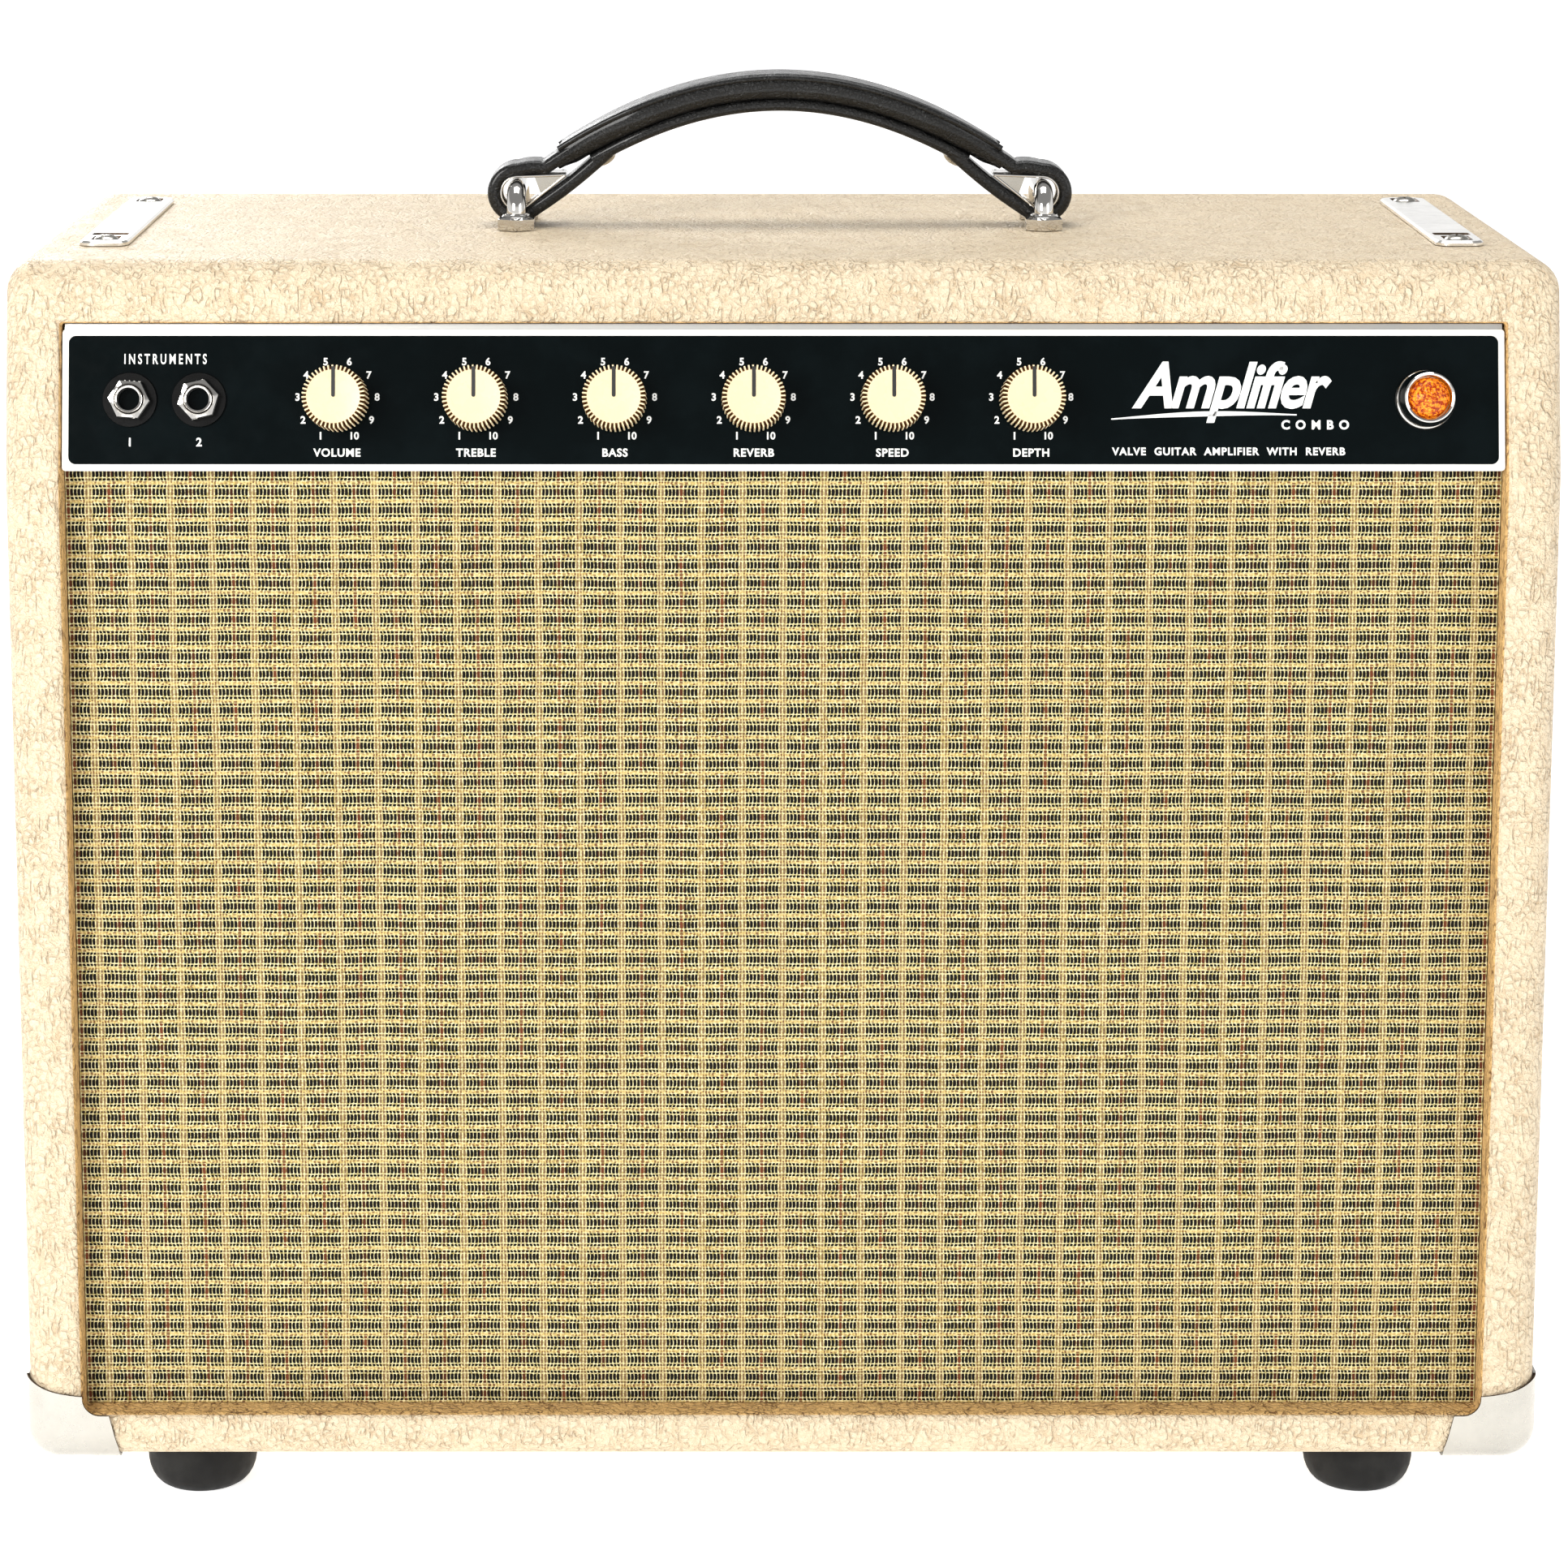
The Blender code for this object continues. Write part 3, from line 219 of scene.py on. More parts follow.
def cloth_material():
    """Woven grille cloth: rows of tall gaps between the warp threads, with rows of dots between them; the gaps are
    painted near black, in places dark red-brown, for the shade inside the cabinet seen through them.
    """
    n = Nodes("wheat_cloth")
    spacing, repeat, count = 0.001209, 0.00604, 11
    x, _, z = n.split(n.warp(420, 0.00022, n.warp(30, 0.0009)))
    rows = n.math("MULTIPLY", z, 1 / repeat)
    row = n.math("SUBTRACT", n.math("FRACT", rows), 0.5)
    from_bar = n.math("ABSOLUTE", row)
    group_at = n.math("SUBTRACT", n.math("FRACT", n.math("MULTIPLY", x, 1 / spacing / count)), 0.5)
    # The gaps bow out from the middle of each group.
    bow = n.math(
        "MULTIPLY", n.math("MULTIPLY", from_bar, from_bar),
        n.math("SINE", n.math("MULTIPLY", group_at, 6.2832)),
    )
    threads = n.math("SUBTRACT", n.math("MULTIPLY", x, 1 / spacing), n.math("MULTIPLY", bow, 2.6))
    cell = n.math("FLOOR", threads)
    off = n.math("ABSOLUTE", n.math("SUBTRACT", n.math("FRACT", threads), 0.5))
    group = n.math("ABSOLUTE", group_at)
    light = n.ramp(group, 0.375, 0.43, 0.0, 1.0)
    spread = n.tree.nodes.new("ShaderNodeTexWhiteNoise")
    spread.noise_dimensions = "2D"
    pair = n.tree.nodes.new("ShaderNodeCombineXYZ")
    n.put(pair.inputs[0], cell)
    n.put(pair.inputs[1], n.math("FLOOR", rows))
    n.put(spread.inputs["Vector"], pair.outputs[0])
    chance = spread.outputs["Value"]

    def gap(half_wide, half_high, centre, power):
        across = n.math("POWER", n.math("DIVIDE", off, half_wide), power)
        upward = n.math("DIVIDE", n.math("ABSOLUTE", n.math("SUBTRACT", from_bar, centre)), half_high)
        total = n.math("ADD", across, n.math("POWER", upward, power))
        return n.ramp(total, 0.80, 1.20, 1.0, 0.0)

    bar_wide = n.math(
        "SUBTRACT", n.math("ADD", 0.385, n.math("MULTIPLY", chance, 0.06)), n.math("MULTIPLY", light, 0.10),
    )
    bars = n.math("MULTIPLY", gap(bar_wide, 0.190, 0.0, 4.0), n.ramp(light, 0, 1, 1.0, 0.80))
    dots = n.math("MULTIPLY", gap(0.38, 0.072, 0.315, 3.0), n.ramp(light, 0, 1, 1.0, 0.80))
    faint = n.math("MULTIPLY", gap(0.36, 0.050, 0.46, 2.0), n.ramp(chance, 0.2, 0.9, 0.25, 0.95))
    hole = n.math("MAXIMUM", bars, dots)
    fibres = n.noise(1500, 3.0).outputs["Fac"]
    straw = n.mix(n.ramp(fibres, 0.35, 0.65), (0.34, 0.28, 0.09), (0.80, 0.73, 0.44))
    straw = n.mix(n.math("MULTIPLY", n.ramp(from_bar, 0.40, 0.47), 0.55), straw, (0.72, 0.50, 0.14))
    straw = n.mix(n.math("MULTIPLY", light, 0.25), straw, (0.66, 0.51, 0.21))
    # Painted shade in the faint gaps.
    straw = n.mix(faint, straw, (0.14, 0.055, 0.02))
    middle = n.ramp(group, 0.03, 0.10, 0.85, 0.0)
    red = n.math("MAXIMUM", n.math("MULTIPLY", middle, chance), n.math("MULTIPLY", light, 0.5))
    # Painted shade: the colour of the gaps.
    dark = n.mix(red, (0.006, 0.005, 0.004), (0.17, 0.045, 0.018))
    height = n.math("MULTIPLY", n.math("COSINE", n.math("MULTIPLY", threads, 6.2832)), 0.30)
    height = n.math(
        "ADD", height, n.math("MULTIPLY", n.math("COSINE", n.math("MULTIPLY", rows, 6.2832 * 6)), 0.20),
    )
    height = n.math("SUBTRACT", height, n.math("MULTIPLY", hole, 1.6))
    n.set(Base_Color=n.mix(hole, straw, dark), Normal=n.bump(height, 0.00022, 0.7))
    n.set(Roughness=n.ramp(hole, 0, 1, 0.75, 0.95), Specular_IOR_Level=0.2)
    return n.mat


def leather_material(name="black_leather", tone=0.004):
    n = Nodes(name)
    warped = n.warp(140, 0.003)
    grain = n.ramp(n.cells(620, vector=warped), 0.0, 0.2)
    fine = n.cells(1500, vector=warped)
    height = n.math("ADD", grain, n.math("MULTIPLY", fine, 0.8))
    worn = n.ramp(n.noise(70, 4.0, 0.65).outputs["Fac"], 0.50, 0.75)
    colour = n.mix(worn, (tone, tone * 1.02, tone), (tone * 2.2, tone * 2.3, tone * 2.2))
    rough = n.ramp(n.noise(160, 4.0).outputs["Fac"], 0.3, 0.7, 0.28, 0.46)
    n.set(Base_Color=colour, Roughness=rough, Normal=n.bump(height, 0.00030, 1.0))
    n.set(Specular_IOR_Level=0.22, Coat_Weight=0.40, Coat_Roughness=0.14)
    return n.mat


def metal_material(name, colour, rough, spread=0.06, brushed=None, scratch=0.3):
    n = Nodes(name)
    vector = n.stretch(*brushed) if brushed else n.coord
    streak = n.noise(900 if brushed else 260, 4.0, 0.6, vector).outputs["Fac"]
    marks = n.noise(34, 6.0, 0.7).outputs["Fac"]
    value = n.math("ADD", n.math("MULTIPLY", streak, 0.6), n.math("MULTIPLY", marks, 0.4))
    tone = n.mix(n.ramp(marks, 0.35, 0.7), colour, tuple(c * 0.90 for c in colour))
    n.set(
        Base_Color=tone, Roughness=n.ramp(value, 0.3, 0.7, rough - spread / 2, rough + spread / 2),
        Metallic=1.0,
    )
    n.set(Normal=n.bump(streak, 0.00002, scratch))
    return n.mat


def plastic_material(name, colour, rough, grain=0.00002, spread=0.1, wear=None, subsurface=0.0, shine=0.5):
    n = Nodes(name)
    cloud = n.noise(60, 5.0, 0.6).outputs["Fac"]
    other = wear or tuple(c * 0.86 for c in colour)
    n.set(Base_Color=n.mix(n.ramp(cloud, 0.42, 0.68), colour, other))
    n.set(Roughness=n.ramp(n.noise(220, 4.0).outputs["Fac"], 0.3, 0.7, rough - spread / 2, rough + spread / 2))
    n.set(Normal=n.bump(n.noise(1400, 3.0).outputs["Fac"], grain, 0.5), Specular_IOR_Level=shine)
    if subsurface:
        n.set(Subsurface_Weight=subsurface, Subsurface_Scale=0.002, Subsurface_Radius=(1.0, 0.6, 0.3))
    return n.mat


def wood_material(name, pale, dark, scale=1.0):
    n = Nodes(name)
    rings = n.noise(9 * scale, 5.0, 0.6, n.stretch(1, 1, 9)).outputs["Fac"]
    pores = n.noise(120 * scale, 4.0, 0.7, n.stretch(1, 1, 14)).outputs["Fac"]
    share = n.ramp(n.math("ADD", rings, n.math("MULTIPLY", pores, 0.5)), 0.55, 0.95)
    n.set(Base_Color=n.mix(share, pale, dark), Roughness=n.ramp(pores, 0.3, 0.7, 0.55, 0.8))
    n.set(Normal=n.bump(pores, 0.0001, 0.5))
    return n.mat


def paper_material():
    n = Nodes("cone_paper")
    fibre = n.noise(420, 6.0, 0.75).outputs["Fac"]
    blotch = n.noise(22, 3.0).outputs["Fac"]
    colour = n.mix(n.ramp(blotch, 0.35, 0.7), (0.030, 0.027, 0.024), (0.060, 0.052, 0.044))
    colour = n.mix(n.ramp(fibre, 0.55, 0.75), colour, (0.10, 0.09, 0.075))
    n.set(Base_Color=colour, Roughness=0.88, Normal=n.bump(fibre, 0.0003, 0.7))
    return n.mat


def jewel_material():
    """Amber jewel: deep red with painted glints of bright orange and painted shade along the facet edges, under a clear
    surface; it glows faintly in the same colours.
    """
    n = Nodes("amber_jewel")
    facet = n.cells(620)
    painted_glint = n.ramp(n.noise(900, 2.0, 0.6).outputs["Fac"], 0.40, 0.62)
    deep = n.mix(painted_glint, (0.25, 0.018, 0.001), (1.0, 0.27, 0.012))
    # Painted shade along the facet edges.
    colour = n.mix(n.ramp(facet, 0.0, 0.10, 0.65, 0.0), deep, (0.16, 0.02, 0.002))
    n.set(Base_Color=colour, Roughness=n.ramp(painted_glint, 0, 1, 0.12, 0.22), Normal=n.bump(facet, 0.0008, 0.8))
    n.set(
        Specular_IOR_Level=0.2, Coat_Weight=0.15, Coat_Roughness=0.04, Emission_Color=colour,
        Emission_Strength=0.45,
    )
    return n.mat


def glass_material(name, colour, rough=0.03):
    n = Nodes(name)
    smear = n.noise(45, 4.0).outputs["Fac"]
    n.set(Base_Color=colour, Roughness=n.ramp(smear, 0.35, 0.7, rough, rough + 0.05))
    n.set(Transmission_Weight=1.0, IOR=1.5)
    return n.mat


VINYL = vinyl_material()
# Painted shade and painted warm bounce light: a darker, more orange copy of the vinyl with strongly darkened creases,
# for the faces just inside the front opening.
VINYL_PAINTED_SHADE = vinyl_material("vinyl_painted_shade_and_bounce", (0.80, 0.52, 0.22), (0.72, 0.44, 0.17), (0.16, 0.065, 0.02), 0.75)
CLOTH = cloth_material()
LEATHER = leather_material()
CHROME = metal_material("chrome", (0.66, 0.64, 0.61), 0.07, 0.04)
NICKEL = metal_material("satin_nickel", (0.52, 0.50, 0.455), 0.26, 0.08)
STRAP_STEEL = metal_material("strap_steel", (0.93, 0.91, 0.87), 0.20, 0.08)
# Near-black metal for cut edges and recess walls: a painted shadow outline round the straps and corners.
NICKEL_SHADOW_OUTLINE = metal_material("nickel_painted_shadow_outline", (0.10, 0.07, 0.05), 0.45, 0.10)
ZINC = metal_material("plated_steel", (0.60, 0.60, 0.58), 0.36, 0.14, (1, 30, 30))
DARK_STEEL = metal_material("dark_steel", (0.16, 0.16, 0.17), 0.42, 0.12)
ALUMINIUM = metal_material("aluminium", (0.72, 0.72, 0.73), 0.32, 0.10, (30, 30, 1))
BRASS = metal_material("brass", (0.75, 0.55, 0.25), 0.30, 0.1)
PANEL_BLACK = plastic_material(
    "panel_black", (0.0010, 0.0026, 0.0030), 0.16, 0.000004, 0.06, (0.0018, 0.0040, 0.0046), shine=0.06,
)
PANEL_WHITE = plastic_material("panel_white", (0.86, 0.85, 0.82), 0.30, 0.000004, 0.06, (0.83, 0.81, 0.77))
LEGEND = plastic_material("legend_white", (0.88, 0.88, 0.86), 0.45, 0.000002, 0.06, (0.84, 0.84, 0.82))
KNOB_CREAM = plastic_material("knob_cream", (0.74, 0.62, 0.39), 0.28, 0.000006, 0.10, (0.73, 0.60, 0.37), 0.06)
INK = plastic_material("pointer_black", (0.008, 0.008, 0.008), 0.5, 0.000004)
BLACK_PLASTIC = plastic_material(
    "black_plastic", (0.010, 0.010, 0.011), 0.38, 0.00002, 0.12, (0.017, 0.017, 0.017), shine=0.3,
)
WASHER_BLACK = plastic_material(
    "washer_black", (0.002, 0.002, 0.002), 0.30, 0.000004, 0.08, (0.004, 0.004, 0.004), shine=0.10,
)
# Dark brown for the sides of the knob flutes: painted shade in the grooves.
KNOB_GROOVE_SHADE = plastic_material(
    "knob_groove_painted_shade", (0.13, 0.055, 0.012), 0.5, 0.000006, 0.10, (0.10, 0.04, 0.010), shine=0.2,
)
RUBBER = plastic_material(
    "black_rubber", (0.006, 0.006, 0.006), 0.60, 0.00004, 0.14, (0.014, 0.014, 0.013), shine=0.22,
)
BLACK_PAINT = plastic_material("black_paint", (0.012, 0.012, 0.013), 0.34, 0.00003, 0.10, (0.02, 0.02, 0.02))
PLYWOOD = wood_material("plywood", (0.62, 0.44, 0.25), (0.44, 0.28, 0.13))
FIBRE = plastic_material("circuit_board", (0.30, 0.19, 0.08), 0.55, 0.00003, 0.12, (0.24, 0.15, 0.06))
PAPER = paper_material()
FERRITE = plastic_material("magnet_ferrite", (0.028, 0.028, 0.030), 0.60, 0.00006, 0.14, (0.045, 0.044, 0.044))
VALVE_GLASS = glass_material("valve_glass", (0.95, 0.97, 0.97))
JEWEL_GLASS = jewel_material()
LAMP_GLOW = plastic_material("lamp_glow", (1.0, 0.55, 0.10), 0.4, 0.00002)
LAMP_GLOW.node_tree.nodes["Principled BSDF"].inputs["Emission Color"].default_value = (1.0, 0.46, 0.05, 1.0)
LAMP_GLOW.node_tree.nodes["Principled BSDF"].inputs["Emission Strength"].default_value = 0.30
GETTER = metal_material("getter_silver", (0.75, 0.75, 0.76), 0.12, 0.06)


# ------------------------------------------------------------------ mesh helpers
def slope_place(x, off=0.0, up=0.0):
    """On the tilted panel at x: local Z out of the panel, local Y up the slope."""
    turn = Matrix(((1, 0, 0), (0, up_slope.y, normal.y), (0, up_slope.z, normal.z)))
    spot = Vector((x, panel_origin.y, panel_origin.z)) + normal * off + up_slope * up
    return Matrix.Translation(spot) @ turn.to_4x4()


def back_place(x, y, z):
    return Matrix.Translation((x, y, z)) @ Matrix(((-1, 0, 0), (0, 0, 1), (0, 1, 0))).to_4x4()


def front_place(x, y, z):
    return Matrix.Translation((x, y, z)) @ Matrix(((1, 0, 0), (0, 0, -1), (0, 1, 0))).to_4x4()


def make_object(name, data):
    made = bpy.data.objects.new(name, data)
    bpy.context.scene.collection.objects.link(made)
    return made


def finish(name, shape, skin, body="cabinet", place=None, sharp=40, replaces=(), extra=()):
    """Turns a bmesh into a piece of the object: placed in its mesh, riding on a body."""
    if place is not None:
        shape.transform(place)
    bmesh.ops.remove_doubles(shape, verts=shape.verts, dist=1e-7)
    bmesh.ops.recalc_face_normals(shape, faces=shape.faces)
    data = bpy.data.meshes.new(name)
    shape.to_mesh(data)
    shape.free()
    data.shade_smooth()
    data.set_sharp_from_angle(angle=math.radians(sharp))
    data.materials.append(skin)
    for more in extra:
        data.materials.append(more)
    made = make_object(name, data)
    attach(made, body)
    if replaces:
        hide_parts(*replaces)
    return made


def bridge(shape, lower, upper, matter=0):
    """Joins two rings of equally many vertices with four-sided faces."""
    for k in range(len(lower)):
        m = (k + 1) % len(lower)
        shape.faces.new((lower[k], lower[m], upper[m], upper[k])).material_index = matter


def circle_points(radius, count, height=0.0, turn=0.0):
    angles = [2 * math.pi * k / count + turn for k in range(count)]
    return [Vector((radius * math.cos(a), radius * math.sin(a), height)) for a in angles]


def lathe(profile, segments=64, hexagon=(), close=True, shape=None, place=None):
    """A profile of (radius, height) turned about Z; rows in hexagon are six-sided."""
    shape = shape or bmesh.new()
    rings = []
    for row, (radius, height) in enumerate(profile):
        if radius < 1e-9:
            spot = Vector((0, 0, height))
            rings.append([shape.verts.new(place @ spot if place else spot)] * segments)
            continue
        ring = []
        for k in range(segments):
            angle = 2 * math.pi * k / segments
            reach = radius
            if row in hexagon:
                off = (angle + math.pi / 6) % (math.pi / 3) - math.pi / 6
                reach = radius / math.cos(off)
            spot = Vector((reach * math.cos(angle), reach * math.sin(angle), height))
            ring.append(shape.verts.new(place @ spot if place else spot))
        rings.append(ring)
    pairs = list(zip(rings, rings[1:]))
    if close:
        pairs.append((rings[-1], rings[0]))
    for lower, upper in pairs:
        for k in range(segments):
            m = (k + 1) % segments
            corners = []
            for vert in (lower[k], lower[m], upper[m], upper[k]):
                if vert not in corners:
                    corners.append(vert)
            if len(corners) > 2:
                shape.faces.new(corners)
    return shape


def sweep(sections, shape=None):
    """Sections (lists of points, one list per station of a path) joined into a capped tube."""
    shape = shape or bmesh.new()
    rings = [[shape.verts.new(spot) for spot in section] for section in sections]
    for lower, upper in zip(rings, rings[1:]):
        bridge(shape, lower, upper)
    shape.faces.new(rings[0])
    shape.faces.new(list(reversed(rings[-1])))
    return shape


def tube(path, radius, sides=20):
    """Round bar along a path."""
    sections = []
    across = None
    for i, here in enumerate(path):
        along = (path[min(i + 1, len(path) - 1)] - path[max(i - 1, 0)]).normalized()
        if across is None:
            across = along.orthogonal().normalized()
        across = (across - along * across.dot(along)).normalized()
        third = along.cross(across)
        angles = [2 * math.pi * k / sides for k in range(sides)]
        sections.append([here + radius * (math.cos(a) * across + math.sin(a) * third) for a in angles])
    return sweep(sections)


def ribbon(path, widths, thick, side, rounding=0.4, corner=5):
    """A strap along a path: flat section with rounded edges; side is the direction of its width."""
    sections = []
    for i, here in enumerate(path):
        along = (path[min(i + 1, len(path) - 1)] - path[max(i - 1, 0)]).normalized()
        lift = side.cross(along).normalized()
        w = widths[i] if isinstance(widths, (list, tuple)) else widths
        t = thick[i] if isinstance(thick, (list, tuple)) else thick
        sections.append([here + side * u + lift * v for u, v in rounded_outline(w, t, rounding * t, corner)])
    return sweep(sections)


def plate(outline, low, high, place=None, shape=None, edge=0.0):
    """A flat outline with thickness along Z and a small bevel on its upper edge."""
    shape = shape or bmesh.new()
    rings = [[Vector((x, y, level)) for x, y in outline] for level in (low, high - edge)]
    if edge:
        rings.append([Vector((x, y, high)) for x, y in inset_outline(outline, edge)])
    verts = []
    for ring in rings:
        verts.append([shape.verts.new(place @ spot if place else spot) for spot in ring])
    for lower, upper in zip(verts, verts[1:]):
        bridge(shape, lower, upper)
    shape.faces.new(list(reversed(verts[0])))
    shape.faces.new(verts[-1])
    return shape


def inset_outline(outline, amount):
    """Moves a counter-clockwise outline inwards by amount."""
    count = len(outline)
    moved = []
    for i in range(count):
        before, here, after = (Vector(outline[(i + d) % count]) for d in (-1, 0, 1))
        one = (here - before).normalized()
        two = (after - here).normalized()
        bisect = Vector((-(one.y + two.y), one.x + two.x))
        bisect = bisect.normalized() if bisect.length > 1e-9 else Vector((-one.y, one.x))
        scale = max(0.5, bisect.dot(Vector((-one.y, one.x))))
        moved.append(tuple(here + bisect * amount / scale))
    return moved


def rounded_outline(width, height, radius, steps=8, centre=(0.0, 0.0)):
    points = []
    for sx, sy, start in ((1, 1, 0), (-1, 1, 90), (-1, -1, 180), (1, -1, 270)):
        for k in range(steps + 1):
            a = math.radians(start + 90 * k / steps)
            x = centre[0] + sx * (width / 2 - radius) + radius * math.cos(a)
            y = centre[1] + sy * (height / 2 - radius) + radius * math.sin(a)
            points.append((x, y))
    return points


def box_shape(low, high, radius=0.0, segments=3):
    piece = bmesh.new()
    size = Vector(high) - Vector(low)
    middle = (Vector(high) + Vector(low)) / 2
    bmesh.ops.create_cube(piece, size=1.0, matrix=Matrix.Translation(middle) @ Matrix.Diagonal((*size, 1.0)))
    if radius:
        bmesh.ops.bevel(
            piece, geom=list(piece.edges), offset=radius, segments=segments, profile=0.5, affect="EDGES",
        )
    return piece


def carve(target, cutter_shape, skin=None):
    """Cuts a shape out of a piece; skin is the material of the cut faces."""
    bmesh.ops.recalc_face_normals(cutter_shape, faces=cutter_shape.faces)
    data = bpy.data.meshes.new("cutter")
    cutter_shape.to_mesh(data)
    cutter_shape.free()
    if skin:
        data.materials.append(skin)
    tool = make_object("cutter", data)
    step = target.modifiers.new("cut", "BOOLEAN")
    step.operation = "DIFFERENCE"
    step.solver = "EXACT"
    step.material_mode = "TRANSFER" if skin else "INDEX"
    step.object = tool
    bpy.context.view_layer.update()
    result = bpy.data.meshes.new_from_object(target.evaluated_get(bpy.context.evaluated_depsgraph_get()))
    target.modifiers.clear()
    target.data = result
    bpy.data.objects.remove(tool, do_unlink=True)
    result.shade_smooth()
    result.set_sharp_from_angle(angle=math.radians(35))
    return target


def paint(node, skin):
    """Gives a carried-over node a new material."""
    found = frame["nodes"][node]
    if not found.material_slots:
        found.data.materials.append(skin)
    for place in found.material_slots:
        place.material = skin


# ------------------------------------------------------------------ camera, lights and floor
shift = (0.0397, -0.15)
camera_data = bpy.data.cameras.new("camera")
camera_data.sensor_width = 36.0
camera_data.lens = 108.1
camera_data.shift_x, camera_data.shift_y = shift
camera_data.clip_start = 0.05
camera = make_object("camera", camera_data)
camera.location = (-0.0200, FRONT - 1.5, 0.6000)
camera.rotation_euler = (math.radians(90 - 10.18), 0, 0)
bpy.context.scene.camera = camera


def area_light(name, spot, target, size, power, colour=(1, 1, 1)):
    data = bpy.data.lights.new(name, "AREA")
    data.shape = "RECTANGLE"
    data.size, data.size_y = size
    data.energy = power
    data.color = colour
    lamp = make_object(name, data)
    lamp.location = spot
    lamp.rotation_euler = (Vector(target) - Vector(spot)).to_track_quat("-Z", "Y").to_euler()


area_light("key", (-1.25, -2.0, 1.15), (0, 0, 0.25), (1.0, 1.0), 42, (1.0, 0.99, 0.97))
area_light("fill", (1.8, -1.5, 0.9), (0, 0, 0.2), (1.2, 1.2), 9, (0.98, 0.99, 1.0))
area_light("top", (0.0, 0.1, 2.3), (0, 0, 0.3), (1.6, 1.0), 27)
area_light("rear", (-0.9, 1.9, 1.2), (0, 0, 0.2), (1.1, 1.1), 24)

# The room is white around the horizon and greyer overhead.
world = bpy.data.worlds.new("studio")
world.use_nodes = True
tree = world.node_tree
direction = tree.nodes.new("ShaderNodeTexCoord").outputs["Generated"]
parts = tree.nodes.new("ShaderNodeSeparateXYZ")
tree.links.new(direction, parts.inputs[0])
fade = tree.nodes.new("ShaderNodeMapRange")
fade.interpolation_type = "SMOOTHSTEP"
for key, value in (("From Min", 0.22), ("From Max", 0.42), ("To Min", 1.0), ("To Max", 0.34)):
    fade.inputs[key].default_value = value
tree.links.new(parts.outputs["Z"], fade.inputs["Value"])
tree.links.new(fade.outputs[0], tree.nodes["Background"].inputs["Strength"])
tree.nodes["Background"].inputs["Color"].default_value = (1.0, 1.0, 1.0, 1.0)
bpy.context.scene.world = world
bpy.context.scene.view_settings.view_transform = "Standard"

floor_mesh = bmesh.new()
bmesh.ops.create_grid(floor_mesh, x_segments=4, y_segments=4, size=60.0)
floor_data = bpy.data.meshes.new("floor")
floor_mesh.to_mesh(floor_data)
floor_mesh.free()
floor_n = Nodes("floor_pale")
floor_n.set(
    Base_Color=(0.93, 0.93, 0.925), Roughness=0.75, Specular_IOR_Level=0.1, Emission_Color=(1.0, 1.0, 1.0),
    Emission_Strength=0.76,
)
floor_data.materials.append(floor_n.mat)
make_object("floor", floor_data)


# ------------------------------------------------------------------ covered cabinet
def lean(z):
    """How far the front has moved back at height z, with a short soft bend at the kink."""
    soft = 0.003
    d = z - KINK
    if d <= -soft:
        return 0.0
    if d < soft:
        return (d + soft) ** 2 / (4 * soft) * math.tan(TILT)
    return d * math.tan(TILT)


def cabinet_shell():
    rows = []
    fine = 10
    # The section runs over the inner front edge, round the outer front edge, along the outside and round the back.
    for k in range(6):
        a = math.radians(90 * k / 5)
        rows.append((WALL - INNER_EDGE * (1 - math.cos(a)), FRONT + INNER_EDGE * (1 - math.sin(a)), True))
    for k in range(fine + 1):
        a = math.radians(90 * k / fine)
        rows.append((EDGE * (1 - math.sin(a)), FRONT + EDGE * (1 - math.cos(a)), True))
    for k in range(fine + 1):
        a = math.radians(90 * k / fine)
        rows.append((EDGE * (1 - math.cos(a)), BACK - EDGE * (1 - math.sin(a)), False))
    for k in range(4):
        a = math.radians(90 * k / 3)
        rows.append((WALL - 0.002 * (1 - math.sin(a)), BACK - 0.002 * (1 - math.cos(a)), False))
    rows.append((WALL, BACK - 0.010, False))
    rows.append((WALL, FRONT + 0.030, True))

    def ring_points(inset):
        points = []
        arc = 8
        for side, up, start in ((1, 1, 0), (-1, 1, 90), (-1, -1, 180), (1, -1, 270)):
            wall = TOP_WALL if up > 0 else BOTTOM_WALL
            for k in range(arc + 1):
                a = math.radians(start + 90 * k / arc)
                if inset < EDGE:
                    r = EDGE - inset
                    x = side * (OUT_X - EDGE) + r * math.cos(a)
                    z = (HIGH - EDGE if up > 0 else LOW + EDGE) + r * math.sin(a)
                else:
                    # Inside the outer rounding the corners are nearly square, with a small tucked fold.
                    share = (inset - EDGE) / (WALL - EDGE)
                    level = EDGE + share * (wall - EDGE)
                    r = 0.0012 * share
                    x = side * (OUT_X - inset - r) + r * math.cos(a)
                    z = (HIGH - level - r if up > 0 else LOW + level + r) + r * math.sin(a)
                points.append((x, z))
            if start in (90, 270):
                order = (0.30, KINK + 0.003, KINK + 0.0015, KINK, KINK - 0.0015, KINK - 0.003, 0.20, 0.10)
                x = points[-1][0]
                heights = sorted(order, reverse=start == 90)
                points += [(x, z) for z in heights]
        return points

    shape = bmesh.new()
    loops = []
    for inset, y, front in rows:
        ring = []
        for x, z in ring_points(inset):
            ring.append(shape.verts.new((x, y + (lean(z) if front else 0.0), z)))
        loops.append(ring)
    last = len(loops) - 1
    for a in range(len(loops)):
        # Bare wood on the inner faces; next to the front opening a darker, more orange copy of the vinyl with painted
        # shade and painted warm bounce light.
        matter = 1 if a == last - 1 else 2 if a in (last, 0, 1) else 0
        bridge(shape, loops[a], loops[(a + 1) % len(loops)], matter)
    boards = ("left_side_board", "right_side_board", "top_board", "bottom_board")
    finish(
        "cabinet_covering", shape, VINYL, sharp=50, replaces=boards,
        extra=(PLYWOOD, VINYL_PAINTED_SHADE),
    )


cabinet_shell()

